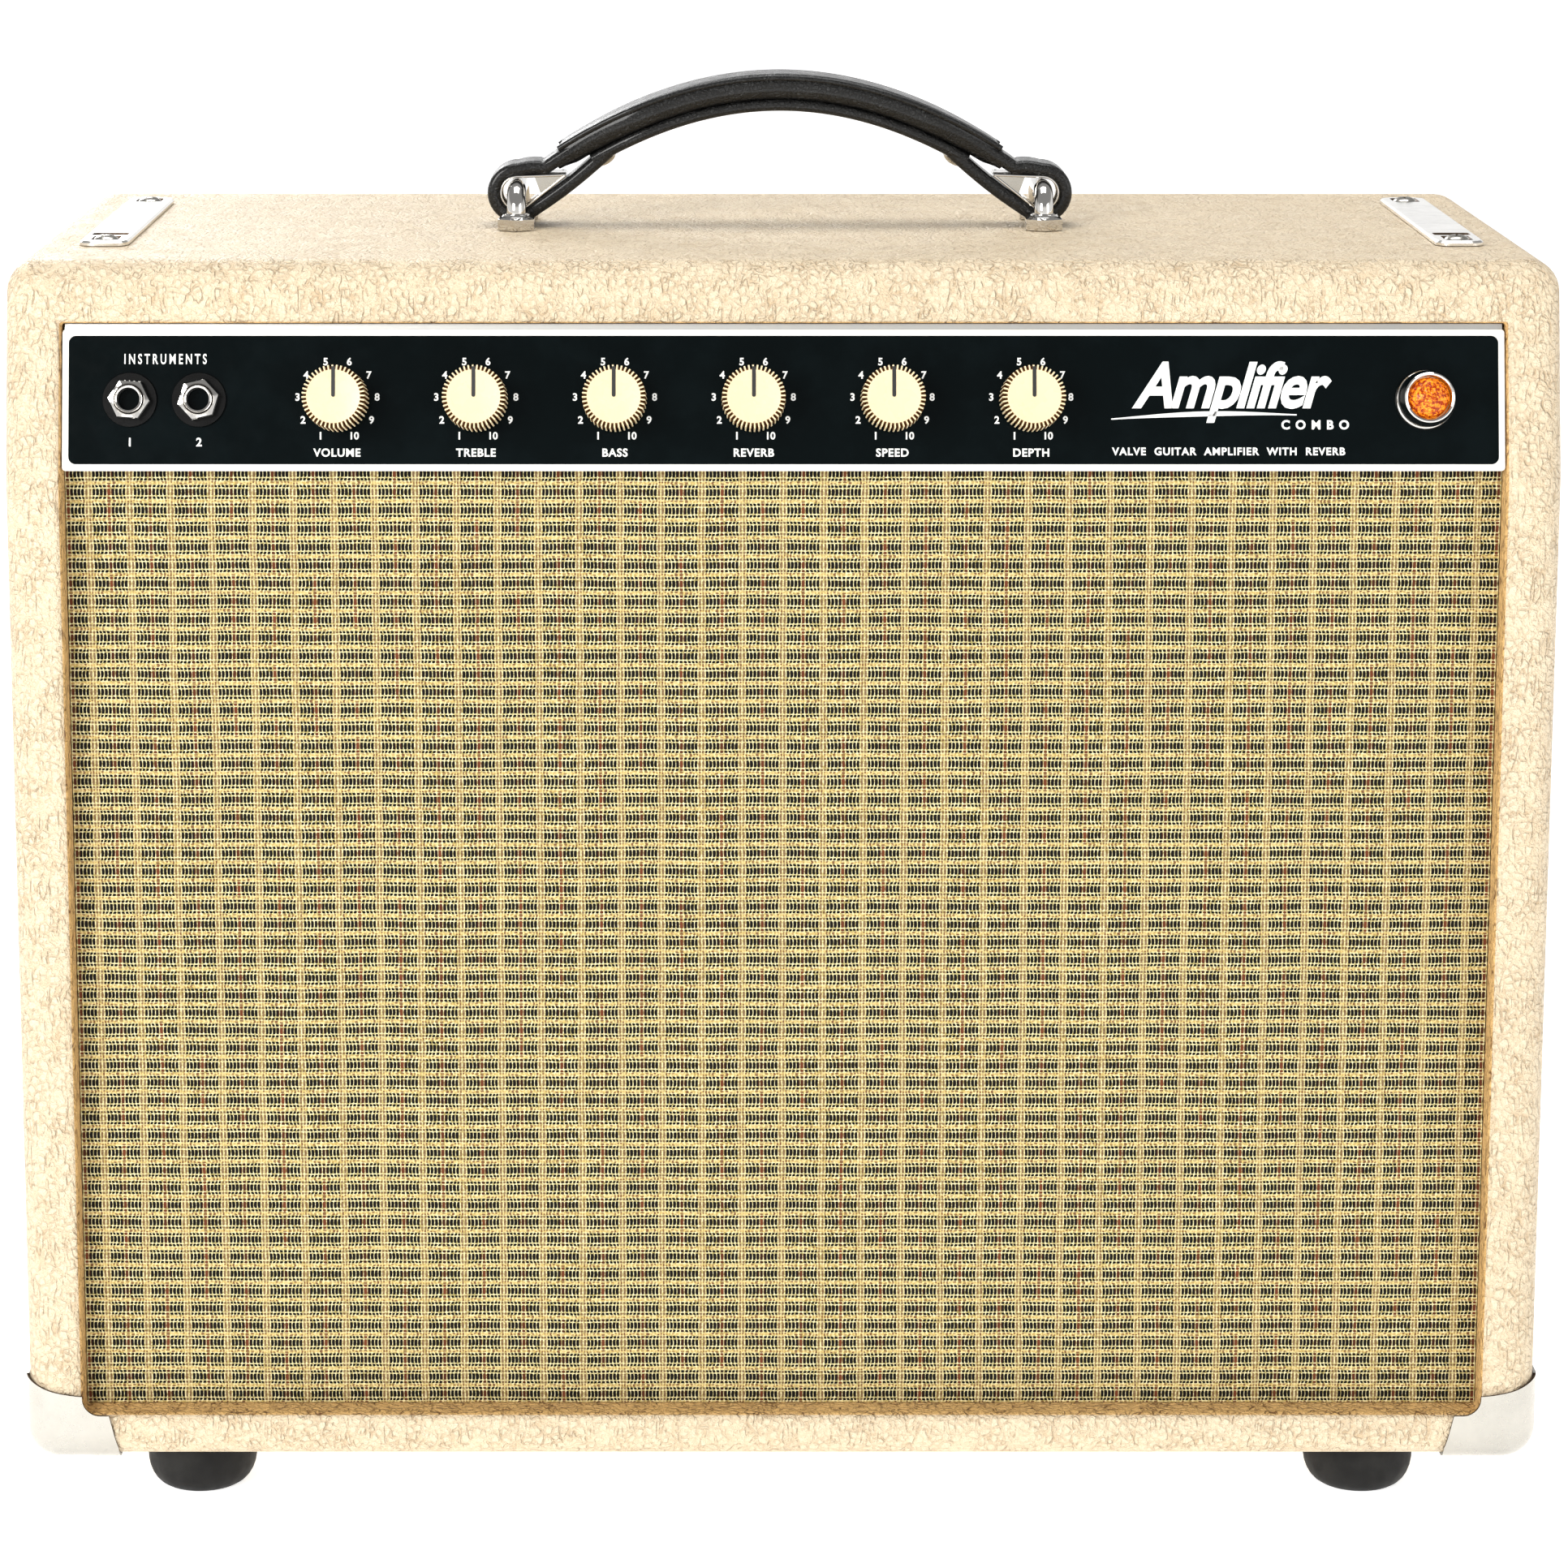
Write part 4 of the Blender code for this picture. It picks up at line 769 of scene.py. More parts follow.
# ------------------------------------------------------------------ grille cloth
low, high = cloth_low, cloth_high
shape = bmesh.new()
across, upward = 96, 64
front_rows = []
for j in range(upward + 1):
    row = []
    for i in range(across + 1):
        x = low[0] + (high[0] - low[0]) * i / across
        z = low[2] + (high[2] - low[2]) * j / upward
        edge = min(i, across - i) / across * min(j, upward - j) / upward
        puff = 0.0004 * min(1.0, edge * 60)
        ripple = 0.00012 * math.sin(i * 0.7 + 0.4 * math.sin(j * 0.3)) * min(1.0, edge * 30)
        row.append(shape.verts.new((x, low[1] + 0.0004 - puff + ripple, z)))
    front_rows.append(row)
back_rows = [[shape.verts.new((v.co.x, high[1], v.co.z)) for v in row] for row in front_rows]
for rows, flip in ((front_rows, False), (back_rows, True)):
    for j in range(upward):
        for i in range(across):
            quad = (rows[j][i], rows[j][i + 1], rows[j + 1][i + 1], rows[j + 1][i])
            shape.faces.new(tuple(reversed(quad)) if flip else quad)
rim = [(0, i) for i in range(across)] + [(j, across) for j in range(upward)]
rim += [(upward, i) for i in range(across, 0, -1)] + [(j, 0) for j in range(upward, 0, -1)]
for (ja, ia), (jb, ib) in zip(rim, rim[1:] + rim[:1]):
    shape.faces.new((front_rows[ja][ia], front_rows[jb][ib], back_rows[jb][ib], back_rows[ja][ia]))
cloth = finish("grille_weave", shape, CLOTH, replaces=("grille_cloth",))

# ------------------------------------------------------------------ control panel and its legends
panel_low, panel_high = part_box("control_panel")
PANEL_WIDTH = panel_high[0] - panel_low[0]
PANEL_LENGTH = 0.0459
field = plate(
    rounded_outline(PANEL_WIDTH - 0.0002, PANEL_LENGTH, 0.0012), -0.0016, 0.0, slope_place(0), edge=0.0002,
)
finish("panel_border", field, PANEL_WHITE, replaces=("control_panel",))
BORDER = 0.0021
black = rounded_outline(PANEL_WIDTH - 0.0002 - 2 * BORDER, PANEL_LENGTH - 2 * BORDER, 0.0024)
finish(
    "panel_face", plate(black, -0.0004, 0.00018, slope_place(0), edge=0.00006), PANEL_BLACK,
)

legend_parts = []


def words(text, x, up, size, heavy=0.00010, spacing=1.0, wide=1.0, lean=0.0, place=None):
    """Printed letters on the tilted panel, or at another place."""
    curve = bpy.data.curves.new("legend", "FONT")
    curve.body = text
    curve.size = size
    curve.align_x = "CENTER"
    curve.align_y = "CENTER"
    curve.extrude = 0.00003
    curve.offset = heavy
    curve.space_character = spacing
    curve.shear = lean
    curve.resolution_u = 4
    narrow = Matrix.Diagonal((wide, 1.0, 1.0, 1.0))
    legend_parts.append((curve, (place or slope_place(x, 0.00020, up)) @ narrow))


def print_legends(name, skin):
    shape = bmesh.new()
    for curve, place in legend_parts:
        holder = make_object("legend", curve)
        bpy.context.view_layer.update()
        data = bpy.data.meshes.new_from_object(holder.evaluated_get(bpy.context.evaluated_depsgraph_get()))
        data.transform(place)
        shape.from_mesh(data)
        bpy.data.objects.remove(holder, do_unlink=True)
    legend_parts.clear()
    data = bpy.data.meshes.new(name)
    shape.to_mesh(data)
    shape.free()
    data.materials.clear()
    data.materials.append(skin)
    made = make_object(name, data)
    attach(made, "cabinet")


knob_names = ("volume", "treble", "bass", "reverb", "speed", "depth")
DIAL = 0.0129
for name in knob_names:
    x = joints[name + "_turn"]["pos_m"][0]
    for number in range(1, 11):
        a = math.radians((number - 5.5) * 34.5)
        words(str(number), x + DIAL * math.sin(a), DIAL * math.cos(a), 0.0033)
    words(name.upper(), x, -0.0172, 0.0036, spacing=1.12)
jack_x = [(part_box(f"input_jack_{k}")[0][0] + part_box(f"input_jack_{k}")[1][0]) / 2 for k in (1, 2)]
words("1", jack_x[0], -0.0138, 0.0038)
words("2", jack_x[1], -0.0138, 0.0038)
words("INSTRUMENTS", sum(jack_x) / 2 + 0.0002, 0.0131, 0.0046, 0.00008, 1.52, wide=0.64)
# The free end of the panel carries a plain slanted word over two small lines.
words("Amplifier", 0.1440, 0.0040, 0.0205, 0.00055, 0.93, lean=0.34, wide=0.86)
words("COMBO", 0.1720, -0.0082, 0.0040, 0.00014, 1.9)
words("VALVE  GUITAR  AMPLIFIER  WITH  REVERB", 0.1440, -0.0168, 0.0034, 0.00010, 1.16)
print_legends("panel_legends", LEGEND)
shape = bmesh.new()
top, under = [], []
for k in range(49):
    t = k / 48
    x = 0.1060 + 0.0600 * t
    y = -0.0062 + 0.0012 * math.sin(t * math.pi * 0.9) + 0.0010 * t
    half = 0.00020 + 0.00060 * math.sin(t * math.pi) ** 1.5
    top.append(shape.verts.new(slope_place(x, 0.00023, y + half) @ Vector((0, 0, 0))))
    under.append(shape.verts.new(slope_place(x, 0.00023, y - half) @ Vector((0, 0, 0))))
for k in range(48):
    shape.faces.new((under[k], under[k + 1], top[k + 1], top[k]))
finish("panel_swash", shape, LEGEND)

# ------------------------------------------------------------------ knobs
KNOB_RADIUS = 0.0104
KNOB_HEIGHT = 0.0165


def knob_shape():
    """A barrel with square-cut flutes that run up to its flat face."""
    shape = bmesh.new()
    teeth, per = 44, 8
    count = teeth * per
    step = (0.0, 0.0, 0.0, 0.0, 0.75, 1.0, 1.0, 0.75)
    levels = (
        (0.0000, 0.0001, 1.0), (KNOB_HEIGHT - 0.0006, 0.0003, 1.0), (KNOB_HEIGHT - 0.0002, 0.0004, 1.0),
        (KNOB_HEIGHT, 0.0006, 0.85),
    )
    rings = []
    for height, less, cut in levels:
        ring = []
        for k in range(count):
            a = 2 * math.pi * k / count
            out = KNOB_RADIUS + 0.0001 - less - cut * 0.00135 * step[k % per]
            ring.append(shape.verts.new((out * math.cos(a), out * math.sin(a), height)))
        rings.append(ring)

    def circle(radius, height):
        return [shape.verts.new(spot) for spot in circle_points(radius, count, height)]

    rings += [circle(0.0086, KNOB_HEIGHT), circle(0.0080, KNOB_HEIGHT - 0.00012)]
    for level, (lower, upper) in enumerate(zip(rings, rings[1:])):
        for k in range(count):
            m = (k + 1) % count
            face = shape.faces.new((lower[k], lower[m], upper[m], upper[k]))
            # The flute sides take the second material, the painted groove shade.
            if level < 4 and k % per in (3, 4, 5, 6, 7):
                face.material_index = 1
    shape.faces.new(rings[-1])
    under, deep = circle(0.0086, 0.0), circle(0.0080, 0.004)
    bridge(shape, under, rings[0])
    bridge(shape, deep, under)
    shape.faces.new(list(reversed(deep)))
    lathe(((0, -0.0105), (0.0030, -0.0105), (0.0030, 0.0042), (0, 0.0042)), 24, shape=shape)
    return shape


for name in knob_names:
    x = joints[name + "_turn"]["pos_m"][0]
    place = slope_place(x, 0.0007)
    finish(
        f"{name}_knob_barrel", knob_shape(), KNOB_CREAM, f"{name}_control", place, 30, (f"{name}_knob",),
        (KNOB_GROOVE_SHADE,),
    )
    groove = []
    for k in range(9):
        a = math.radians(180 + 180 * k / 8)
        groove.append((0.0006 * math.cos(a), 0.0004 + 0.0006 * math.sin(a)))
    groove += [(0.0006, KNOB_RADIUS - 0.0008), (-0.0006, KNOB_RADIUS - 0.0008)]
    mark = plate(groove, KNOB_HEIGHT - 0.0004, KNOB_HEIGHT + 0.00005, place)
    finish(f"{name}_pointer", mark, INK, f"{name}_control")

# ------------------------------------------------------------------ input jacks
for number, x in enumerate(jack_x, 1):
    place = slope_place(x)
    washer = lathe(
        ((0.0050, 0.0002), (0.0086, 0.0002), (0.00885, 0.0004), (0.00885, 0.0009), (0.0087, 0.0012), (0.0050, 0.0012)),
        72,
    )
    finish(f"jack_washer_{number}", washer, WASHER_BLACK, place=place, sharp=60)
    rows = (
        (0.0049, 0.0012), (0.0059, 0.0012), (0.0061, 0.0014), (0.0061, 0.0037), (0.0058, 0.0042),
        (0.0052, 0.0044), (0.0049, 0.0042),
    )
    nut = lathe(rows, 72, (1, 2, 3, 4))
    spun = place @ Matrix.Rotation(0.15 + 0.3 * number, 4, "Z")
    finish(
        f"jack_hexagon_{number}", nut, CHROME, place=spun, sharp=22, replaces=(f"jack_nut_{number}",),
    )
    thread = [(0.0037, -0.0300), (0.0080, -0.0300), (0.0080, -0.0040), (0.0046, -0.0040)]
    for k in range(12):
        thread.append((0.00465, -0.0036 + 0.0007 * k))
        thread.append((0.00448, -0.00325 + 0.0007 * k))
    thread += [(0.0045, 0.0050), (0.0042, 0.0056), (0.0037, 0.0053)]
    body = lathe(thread, 64)
    finish(
        f"jack_bushing_{number}", body, CHROME, place=place, replaces=(f"input_jack_{number}",),
    )
    plug = lathe(
        ((0, -0.026), (0.00372, -0.026), (0.00372, 0.0020), (0.00355, 0.0020), (0.0034, -0.020), (0, -0.020)),
        48,
    )
    finish(f"jack_liner_{number}", plug, INK, place=place)

# ------------------------------------------------------------------ pilot lamp
low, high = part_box("pilot_lamp_holder")
lamp_x = (low[0] + high[0]) / 2
place = slope_place(lamp_x)
holder = lathe(
    (
        (0, -0.028), (0.0067, -0.028), (0.0067, 0.0002), (0.0096, 0.0002), (0.0098, 0.0005), (0.0098, 0.0020),
        (0.0094, 0.0028), (0.0090, 0.0031), (0.0089, 0.0042), (0.0092, 0.0046), (0.0092, 0.0054),
        (0.0088, 0.0060), (0.0084, 0.0105), (0.0081, 0.0117), (0.0077, 0.0121), (0.0072, 0.0119),
        (0.0070, 0.0112), (0.0070, 0.0064), (0, 0.0064),
    ),
    96,
)
finish("pilot_holder", holder, CHROME, place=place, sharp=30, replaces=("pilot_lamp_holder",))
shape = bmesh.new()
facets = 14
rings = []
levels = ((0.0067, 0.0066), (0.0067, 0.0098), (0.0060, 0.0113), (0.0044, 0.0127), (0.0022, 0.0135))
for level, (radius, height) in enumerate(levels):
    twist = math.pi / facets * (level % 2)
    rings.append([shape.verts.new(spot) for spot in circle_points(radius, facets, height, twist)])
for lower, upper in zip(rings, rings[1:]):
    for k in range(facets):
        m = (k + 1) % facets
        shape.faces.new((lower[k], lower[m], upper[k]))
        shape.faces.new((lower[m], upper[m], upper[k]))
tip = shape.verts.new((0, 0, 0.0138))
for k in range(facets):
    shape.faces.new((rings[-1][k], rings[-1][(k + 1) % facets], tip))
shape.faces.new(list(reversed(rings[0])))
finish("jewel_glass", shape, JEWEL_GLASS, place=place, sharp=2, replaces=("pilot_jewel",))
reflector = lathe(((0, 0.00655), (0.0069, 0.00655), (0.0069, 0.0066), (0, 0.0066)), 48)
finish("jewel_backing", reflector, LAMP_GLOW, place=place)

# ------------------------------------------------------------------ handle
bail_low, bail_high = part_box("handle_bail_left")
BAIL_X = -(bail_low[0] + bail_high[0]) / 2
HANDLE_Y = (bail_low[1] + bail_high[1]) / 2
liner_low, liner_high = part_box("handle_liner_left")
LOOP_Z = (liner_low[2] + liner_high[2]) / 2
grip_low, grip_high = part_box("handle_grip")
ARCH_TOP = grip_high[2]
WIDTH = grip_high[1] - grip_low[1]
DROP = 4.2
LOOP_WIDTH = 0.0190
ACROSS = Vector((0, 1, 0))


def arch(x):
    return ARCH_TOP - DROP * x * x


def along_arch(x, below):
    """Point below the arch's upper line, square to it."""
    slope = -2 * DROP * x
    size = math.hypot(1, slope)
    return Vector((x + below * slope / size, HANDLE_Y, arch(x) - below / size))


def eased(value, low, high):
    share = min(1.0, max(0.0, (value - low) / (high - low)))
    return share * share * (3 - 2 * share)


# Padded band: thick over the grip, stepping down at each shoulder.
path, widths, depths = [], [], []
count = 96
for k in range(count + 1):
    x = 0.0800 * (2 * k / count - 1)
    down = eased(abs(x), 0.0740, 0.0800)
    thick = 0.0088 - 0.0040 * down
    path.append(along_arch(x, 0.0044 + 0.0006 * down))
    depths.append(thick)
    widths.append(WIDTH - 0.0006 - (WIDTH - LOOP_WIDTH) * eased(abs(x), 0.050, 0.078))
band = finish(
    "grip_band", ribbon(path, widths, depths, ACROSS, 0.42, corner=6), LEATHER, "handle", sharp=60,
    replaces=("handle_grip",),
)

# Thin piped edge along the top of the band.
for end in (-1, 1):
    line = []
    for k in range(count + 1):
        x = 0.0770 * (2 * k / count - 1)
        half = (WIDTH - 0.0006 - (WIDTH - LOOP_WIDTH) * eased(abs(x), 0.050, 0.078)) / 2
        spot = along_arch(x, 0.0013)
        line.append(spot + ACROSS * end * (half - 0.0008))
    finish(
        f"grip_piping_{'front' if end < 0 else 'rear'}", tube(line, 0.0011, 10), LEATHER, "handle",
    )

# Lower strap between the rivets.
path, widths = [], []
for k in range(count + 1):
    x = 0.0700 * (2 * k / count - 1)
    path.append(along_arch(x, 0.0108))
    widths.append(LOOP_WIDTH + 0.003 - 0.003 * eased(abs(x), 0.05, 0.07))
finish(
    "grip_lower_strap", ribbon(path, widths, 0.0040, ACROSS, 0.40), LEATHER, "handle", sharp=60,
)

# End loops, one strap each: from under the band round the bail and back to the rivet.
LOOP_MID = 0.0080
for side, word in ((-1, "left"), (1, "right")):
    path = []
    for k in range(9):
        x = 0.0660 + (0.0835 - 0.0660) * k / 8
        path.append(along_arch(x, 0.0042))
    end_spot = path[-1]
    centre = Vector((BAIL_X, HANDLE_Y, LOOP_Z))
    start = math.degrees(math.atan2(end_spot.z - centre.z, end_spot.x - centre.x))
    top_angle = 92
    blend = []
    for k in range(1, 5):
        t = k / 5
        a = math.radians(top_angle)
        goal = centre + Vector((LOOP_MID * math.cos(a), 0, LOOP_MID * math.sin(a)))
        lift = Vector((0, 0, 0.0006 * math.sin(math.pi * t)))
        blend.append(end_spot.lerp(goal, t) + lift)
    path += blend
    for k in range(25):
        a = math.radians(top_angle - (top_angle + 128) * k / 24)
        path.append(centre + Vector((LOOP_MID * math.cos(a), 0, LOOP_MID * math.sin(a))))
    last = path[-1]
    goal = along_arch(0.0640, 0.0108)
    for k in range(1, 11):
        t = k / 10
        bow = Vector((0, 0, -0.0010 * math.sin(math.pi * t)))
        path.append(last.lerp(goal, t) + bow)
    path = [Vector((side * p.x, p.y, p.z)) for p in path]
    thick = [0.0046] * len(path)
    loop = ribbon(path, LOOP_WIDTH, thick, ACROSS, 0.38)
    finish(f"grip_loop_{word}", loop, LEATHER, "handle", sharp=60)
    # Metal liner: a drop-shaped channel that fills the loop.
    tip = Vector((side * (BAIL_X - 0.0168), HANDLE_Y, LOOP_Z + 0.0062))
    centre.x *= side
    reach = tip - centre
    spread = math.acos(0.0056 / reach.length)
    aim = math.atan2(reach.z, reach.x)
    line = [tip]
    steps = 26
    for k in range(steps + 1):
        a = aim + spread + (2 * math.pi - 2 * spread) * k / steps
        line.append(centre + Vector((0.0056 * math.cos(a), 0, 0.0056 * math.sin(a))))
    line.append(tip)
    liner = ribbon(line, LOOP_WIDTH - 0.002, 0.0009, ACROSS, 0.30, corner=2)
    finish(
        f"loop_liner_{word}", liner, CHROME, "handle", sharp=50, replaces=(f"handle_liner_{word}",),
    )
    wedge = []
    for share, half in ((0.42, 0.0036), (0.95, 0.0008)):
        spot = centre + reach * share
        cross = Vector((-reach.z, 0, reach.x)).normalized() * half
        wedge.append((spot, cross))
    shape = bmesh.new()
    for y in (-LOOP_WIDTH / 2 + 0.002, LOOP_WIDTH / 2 - 0.002):
        ring = []
        for spot, cross in wedge:
            ring += [spot + cross, spot - cross]
        ring = [ring[0], ring[1], ring[3], ring[2]]
        for thick in (-0.0005, 0.0005):
            shape.faces.new([shape.verts.new(p + ACROSS * (y + thick)) for p in ring])
    finish(f"loop_web_{word}", shape, NICKEL, "handle", sharp=30)
    # Rivet under the strap, square to the arch.
    spot = along_arch(0.0668, 0.0127)
    slope = math.atan(-2 * DROP * 0.0668)
    turn = Matrix.Rotation(-side * slope, 4, "Y") @ Matrix.Rotation(math.pi, 4, "X")
    place = Matrix.Translation((side * spot.x, HANDLE_Y, spot.z)) @ turn
    dome = []
    for k in range(8):
        a = math.radians(90 * k / 7)
        dome.append((0.0044 * math.cos(a), 0.0024 * math.sin(a)))
    dome = [(0, -0.0015), (0.0030, -0.0015), (0.0030, 0.0)] + dome
    dome[-1] = (0, 0.0024)
    finish(f"grip_rivet_{word}", lathe(dome, 40), NICKEL, "handle", place)

# Bails: round chrome staples with a hexagon collar at each leg.
for side, word in ((-1, "left"), (1, "right")):
    bend = 0.0072
    leg = 0.0175
    rod_radius = 0.00325
    level = bail_high[2] - rod_radius
    path = [Vector((side * BAIL_X, HANDLE_Y - leg, bail_low[2]))]
    path.append(Vector((side * BAIL_X, HANDLE_Y - leg, HIGH + 0.004)))
    for k in range(13):
        a = math.radians(90 * k / 12)
        y, z = HANDLE_Y - leg + bend * (1 - math.cos(a)), level - bend * (1 - math.sin(a))
        path.append(Vector((side * BAIL_X, y, z)))
    path += [Vector((p.x, 2 * HANDLE_Y - p.y, p.z)) for p in reversed(path)]
    shape = tube(path, rod_radius, 28)
    for end in (-1, 1):
        place = Matrix.Translation((side * BAIL_X, HANDLE_Y + end * leg, HIGH))
        profile = (
            (0, 0.0002), (0.0060, 0.0002), (0.0062, 0.0006), (0.0062, 0.0040), (0.0057, 0.0046),
            (0.0050, 0.0048), (0.0047, 0.0052), (0.0046, 0.0056), (0.0040, 0.0058), (0, 0.0058),
        )
        lathe(profile, 60, (1, 2, 3), shape=shape, place=place)
    finish(f"bail_{word}", shape, CHROME, sharp=28, replaces=(f"handle_bail_{word}",))


# ------------------------------------------------------------------ straps and their screws
def screw_head(place, radius=0.0050, height=0.0026, name="screw", skin=None, body="cabinet"):
    """Oval head with a cross recess."""
    dome = [(0, -0.001)]
    dome.append((radius * 0.96, -0.001))
    for k in range(9):
        a = math.radians(80 * k / 8)
        dome.append((radius * math.cos(a), height * math.sin(a)))
    dome.append((0, height))
    head = finish(name, lathe(dome, 40), skin or NICKEL, body, None, 30)
    cutter = box_shape((-radius * 0.56, -0.00038, height * 0.45), (radius * 0.56, 0.00038, height + 0.002))
    carve(head, cutter)
    cutter = box_shape((-0.00038, -radius * 0.56, height * 0.45), (0.00038, radius * 0.56, height + 0.002))
    carve(head, cutter)
    head.data.transform(place)
    return head


STRAP_NOSE = 0.0052
for side, word in ((-1, "left"), (1, "right")):
    low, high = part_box(f"chassis_strap_{word}")
    middle = (low[0] + high[0]) / 2
    wide, length = high[0] - low[0], high[1] - low[1]
    y_mid = (low[1] + high[1]) / 2
    base = low[2]
    outline = rounded_outline(wide, length, STRAP_NOSE, 8, (middle, y_mid))
    strap = finish(
        f"top_strap_{word}", plate(outline, base, high[2], edge=0.0007), STRAP_STEEL, sharp=25,
        replaces=(f"chassis_strap_{word}",),
    )
    for depth in ("front", "rear"):
        bolt_low, bolt_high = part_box(f"chassis_bolt_{depth}_{word}")
        y = (bolt_low[1] + bolt_high[1]) / 2
        seat = box_shape(
            (middle - 0.0047, y - 0.0064, base + 0.0004), (middle + 0.0047, y + 0.0064, base + 0.01), 0.0012, 2,
        )
        # The walls of the recess get the painted shadow outline.
        carve(strap, seat, NICKEL_SHADOW_OUTLINE)
        # A black pad on the floor of the recess: painted shade.
        shade_pad = box_shape(
            (middle - 0.0046, y - 0.0063, base + 0.0003), (middle + 0.0046, y + 0.0063, base + 0.0006),
        )
        finish(f"strap_pocket_shade_{depth}_{word}", shade_pad, BLACK_PLASTIC)
        if depth == "front":
            # Slot just behind the front screw; its walls and the black pad on its floor are painted shadow.
            slot = box_shape(
                (middle - 0.0062, y + 0.0088, base + 0.0004), (middle + 0.0062, y + 0.0158, base + 0.01),
                0.0012, 2,
            )
            carve(strap, slot, NICKEL_SHADOW_OUTLINE)
            shade_pad = box_shape(
                (middle - 0.0061, y + 0.0089, base + 0.0003), (middle + 0.0061, y + 0.0157, base + 0.0006),
            )
            finish(f"strap_slot_shade_{word}", shade_pad, BLACK_PLASTIC)
        head = screw_head(
            Matrix.Translation((middle, y, base + 0.0007)) @ Matrix.Rotation(0.4 + side, 4, "Z"), 0.0043,
            0.0022, f"strap_screw_{depth}_{word}",
        )
        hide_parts(f"chassis_bolt_{depth}_{word}")

# ------------------------------------------------------------------ feet
for depth in ("front", "rear"):
    for word in ("left", "right"):
        low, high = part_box(f"foot_{depth}_{word}")
        x, y = (low[0] + high[0]) / 2, (low[1] + high[1]) / 2
        top = high[2]
        profile = (
            (0, 0.0085), (0.0050, 0.0085), (0.0052, 0.0006), (0.0058, 0.0000), (0.0122, 0.0000),
            (0.0136, 0.0004), (0.0150, 0.0013), (0.0163, 0.0027), (0.0173, 0.0044), (0.0181, 0.0066),
            (0.0185, 0.0090), (0.0186, 0.0115), (0.0186, top - 0.0012), (0.0182, top - 0.0004), (0.0178, top),
            (0, top),
        )
        place = Matrix.Translation((x, y, 0))
        finish(
            f"rubber_foot_{depth}_{word}", lathe(profile, 72), RUBBER, place=place, sharp=35,
            replaces=(f"foot_{depth}_{word}",),
        )
        ring = lathe(((0, 0.0070), (0.0046, 0.0070), (0.0046, 0.0082), (0, 0.0082)), 32)
        finish(f"foot_washer_{depth}_{word}", ring, NICKEL, place=place)


# ------------------------------------------------------------------ metal corners
def corner_block(offset, reach, side, end):
    shape = bmesh.new()
    bmesh.ops.create_cube(
        shape, size=1.0, matrix=Matrix.Translation(Vector(reach) / 2) @ Matrix.Diagonal((*reach, 1.0)),
    )
    outer = [e for e in shape.edges if any(v.co.length < 1e-6 for v in e.verts)]
    bmesh.ops.bevel(shape, geom=outer, offset=EDGE + offset, segments=14, profile=0.5, affect="EDGES")
    y = FRONT - offset if end < 0 else BACK + offset
    for vert in shape.verts:
        vert.co = Vector((side * (OUT_X + offset - vert.co.x), y - end * vert.co.y, LOW - offset + vert.co.z))
    return shape


def corner_prism(outline, deep):
    shape = bmesh.new()
    rings = [[shape.verts.new((x, y, z)) for x, z in outline] for y in deep]
    bridge(shape, *rings)
    shape.faces.new(rings[0])
    shape.faces.new(list(reversed(rings[1])))
    return shape


NOTCH = 0.006
for end, depth in ((-1, "front"), (1, "rear")):
    for side, word in ((-1, "left"), (1, "right")):
        node = f"corner_{depth}_{word}"
        low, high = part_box(node)
        reach = tuple(h - l for h, l in zip(high, low))
        face_y = FRONT if end < 0 else BACK
        deep = sorted((face_y + end * 0.005, face_y - end * 0.008))

        def at(inward, height):
            return (side * (OUT_X - inward), LOW + height)

        cap = finish(
            f"metal_{node}", corner_block(0.0012, reach, side, end), NICKEL, replaces=(node,),
        )
        carve(cap, corner_block(0.0003, (0.05, 0.05, 0.05), side, end))
        notch = [at(0.05, BOTTOM_WALL), at(0.05, 0.05), at(WALL, 0.05)]
        for k in range(13):
            a = math.radians(90 * k / 12)
            notch.append(at(WALL + NOTCH * (1 - math.cos(a)), BOTTOM_WALL + NOTCH * (1 - math.sin(a))))
        slant = [at(-0.01, 0.0306)]
        for k in range(13):
            t = k / 12
            slant.append(at(-0.002 + 0.022 * t, 0.0283 - 0.0056 * t + 0.0012 * (2 * t - 1) ** 2 - 0.0012))
        slant += [at(0.05, 0.0200), at(0.05, 0.05), at(-0.01, 0.05)]
        leg_end = [
            at(0.0316, -0.0013), at(0.0275, BOTTOM_WALL), at(0.0275, 0.03), at(0.05, 0.03), at(0.05, -0.0013),
        ]
        for outline in (notch, slant, leg_end):
            # The cut edges of the cap get the painted shadow outline.
            carve(cap, corner_prism(outline, deep), NICKEL_SHADOW_OUTLINE)
        cap.data.set_sharp_from_angle(angle=math.radians(28))

# ------------------------------------------------------------------ back panels
def cross_screw(name, place, radius=0.0042, height=0.0016, cup=0.0068):
    """A cross-head screw standing in a dished washer; local Z points out of the surface."""
    ring = [
        (0.0030, 0.0), (cup, 0.0), (cup, 0.0003), (cup - 0.0006, 0.0009), (cup - 0.0016, 0.0014),
        (radius + 0.0002, 0.0012), (0.0030, 0.0002),
    ]
    finish(f"{name}_cup", lathe(ring, 40), NICKEL, place=place)
    return screw_head(place @ Matrix.Translation((0, 0, 0.0004)), radius, height, name, NICKEL)


for node, word in (("upper_back_panel", "upper"), ("lower_back_panel", "lower")):
    low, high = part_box(node)
    finish(f"{word}_rear_board", box_shape(low, high, 0.0016, 3), VINYL, replaces=(node,))
    for k, x in enumerate((low[0] + 0.009, 0.0, high[0] - 0.009)):
        if k == 1 and word == "upper":
            continue
        for m, z in enumerate((low[2] + 0.014, high[2] - 0.014)):
            if k == 1 and m == 1:
                continue
            cross_screw(
                f"{word}_board_screw_{k}{m}", back_place(x, high[1], z) @ Matrix.Rotation(0.5 * k + m, 4, "Z"),
            )

# ------------------------------------------------------------------ rear of the chassis
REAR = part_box("chassis")[1][1]


def middle_of(node):
    low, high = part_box(node)
    return [(l + h) / 2 for l, h in zip(low, high)]


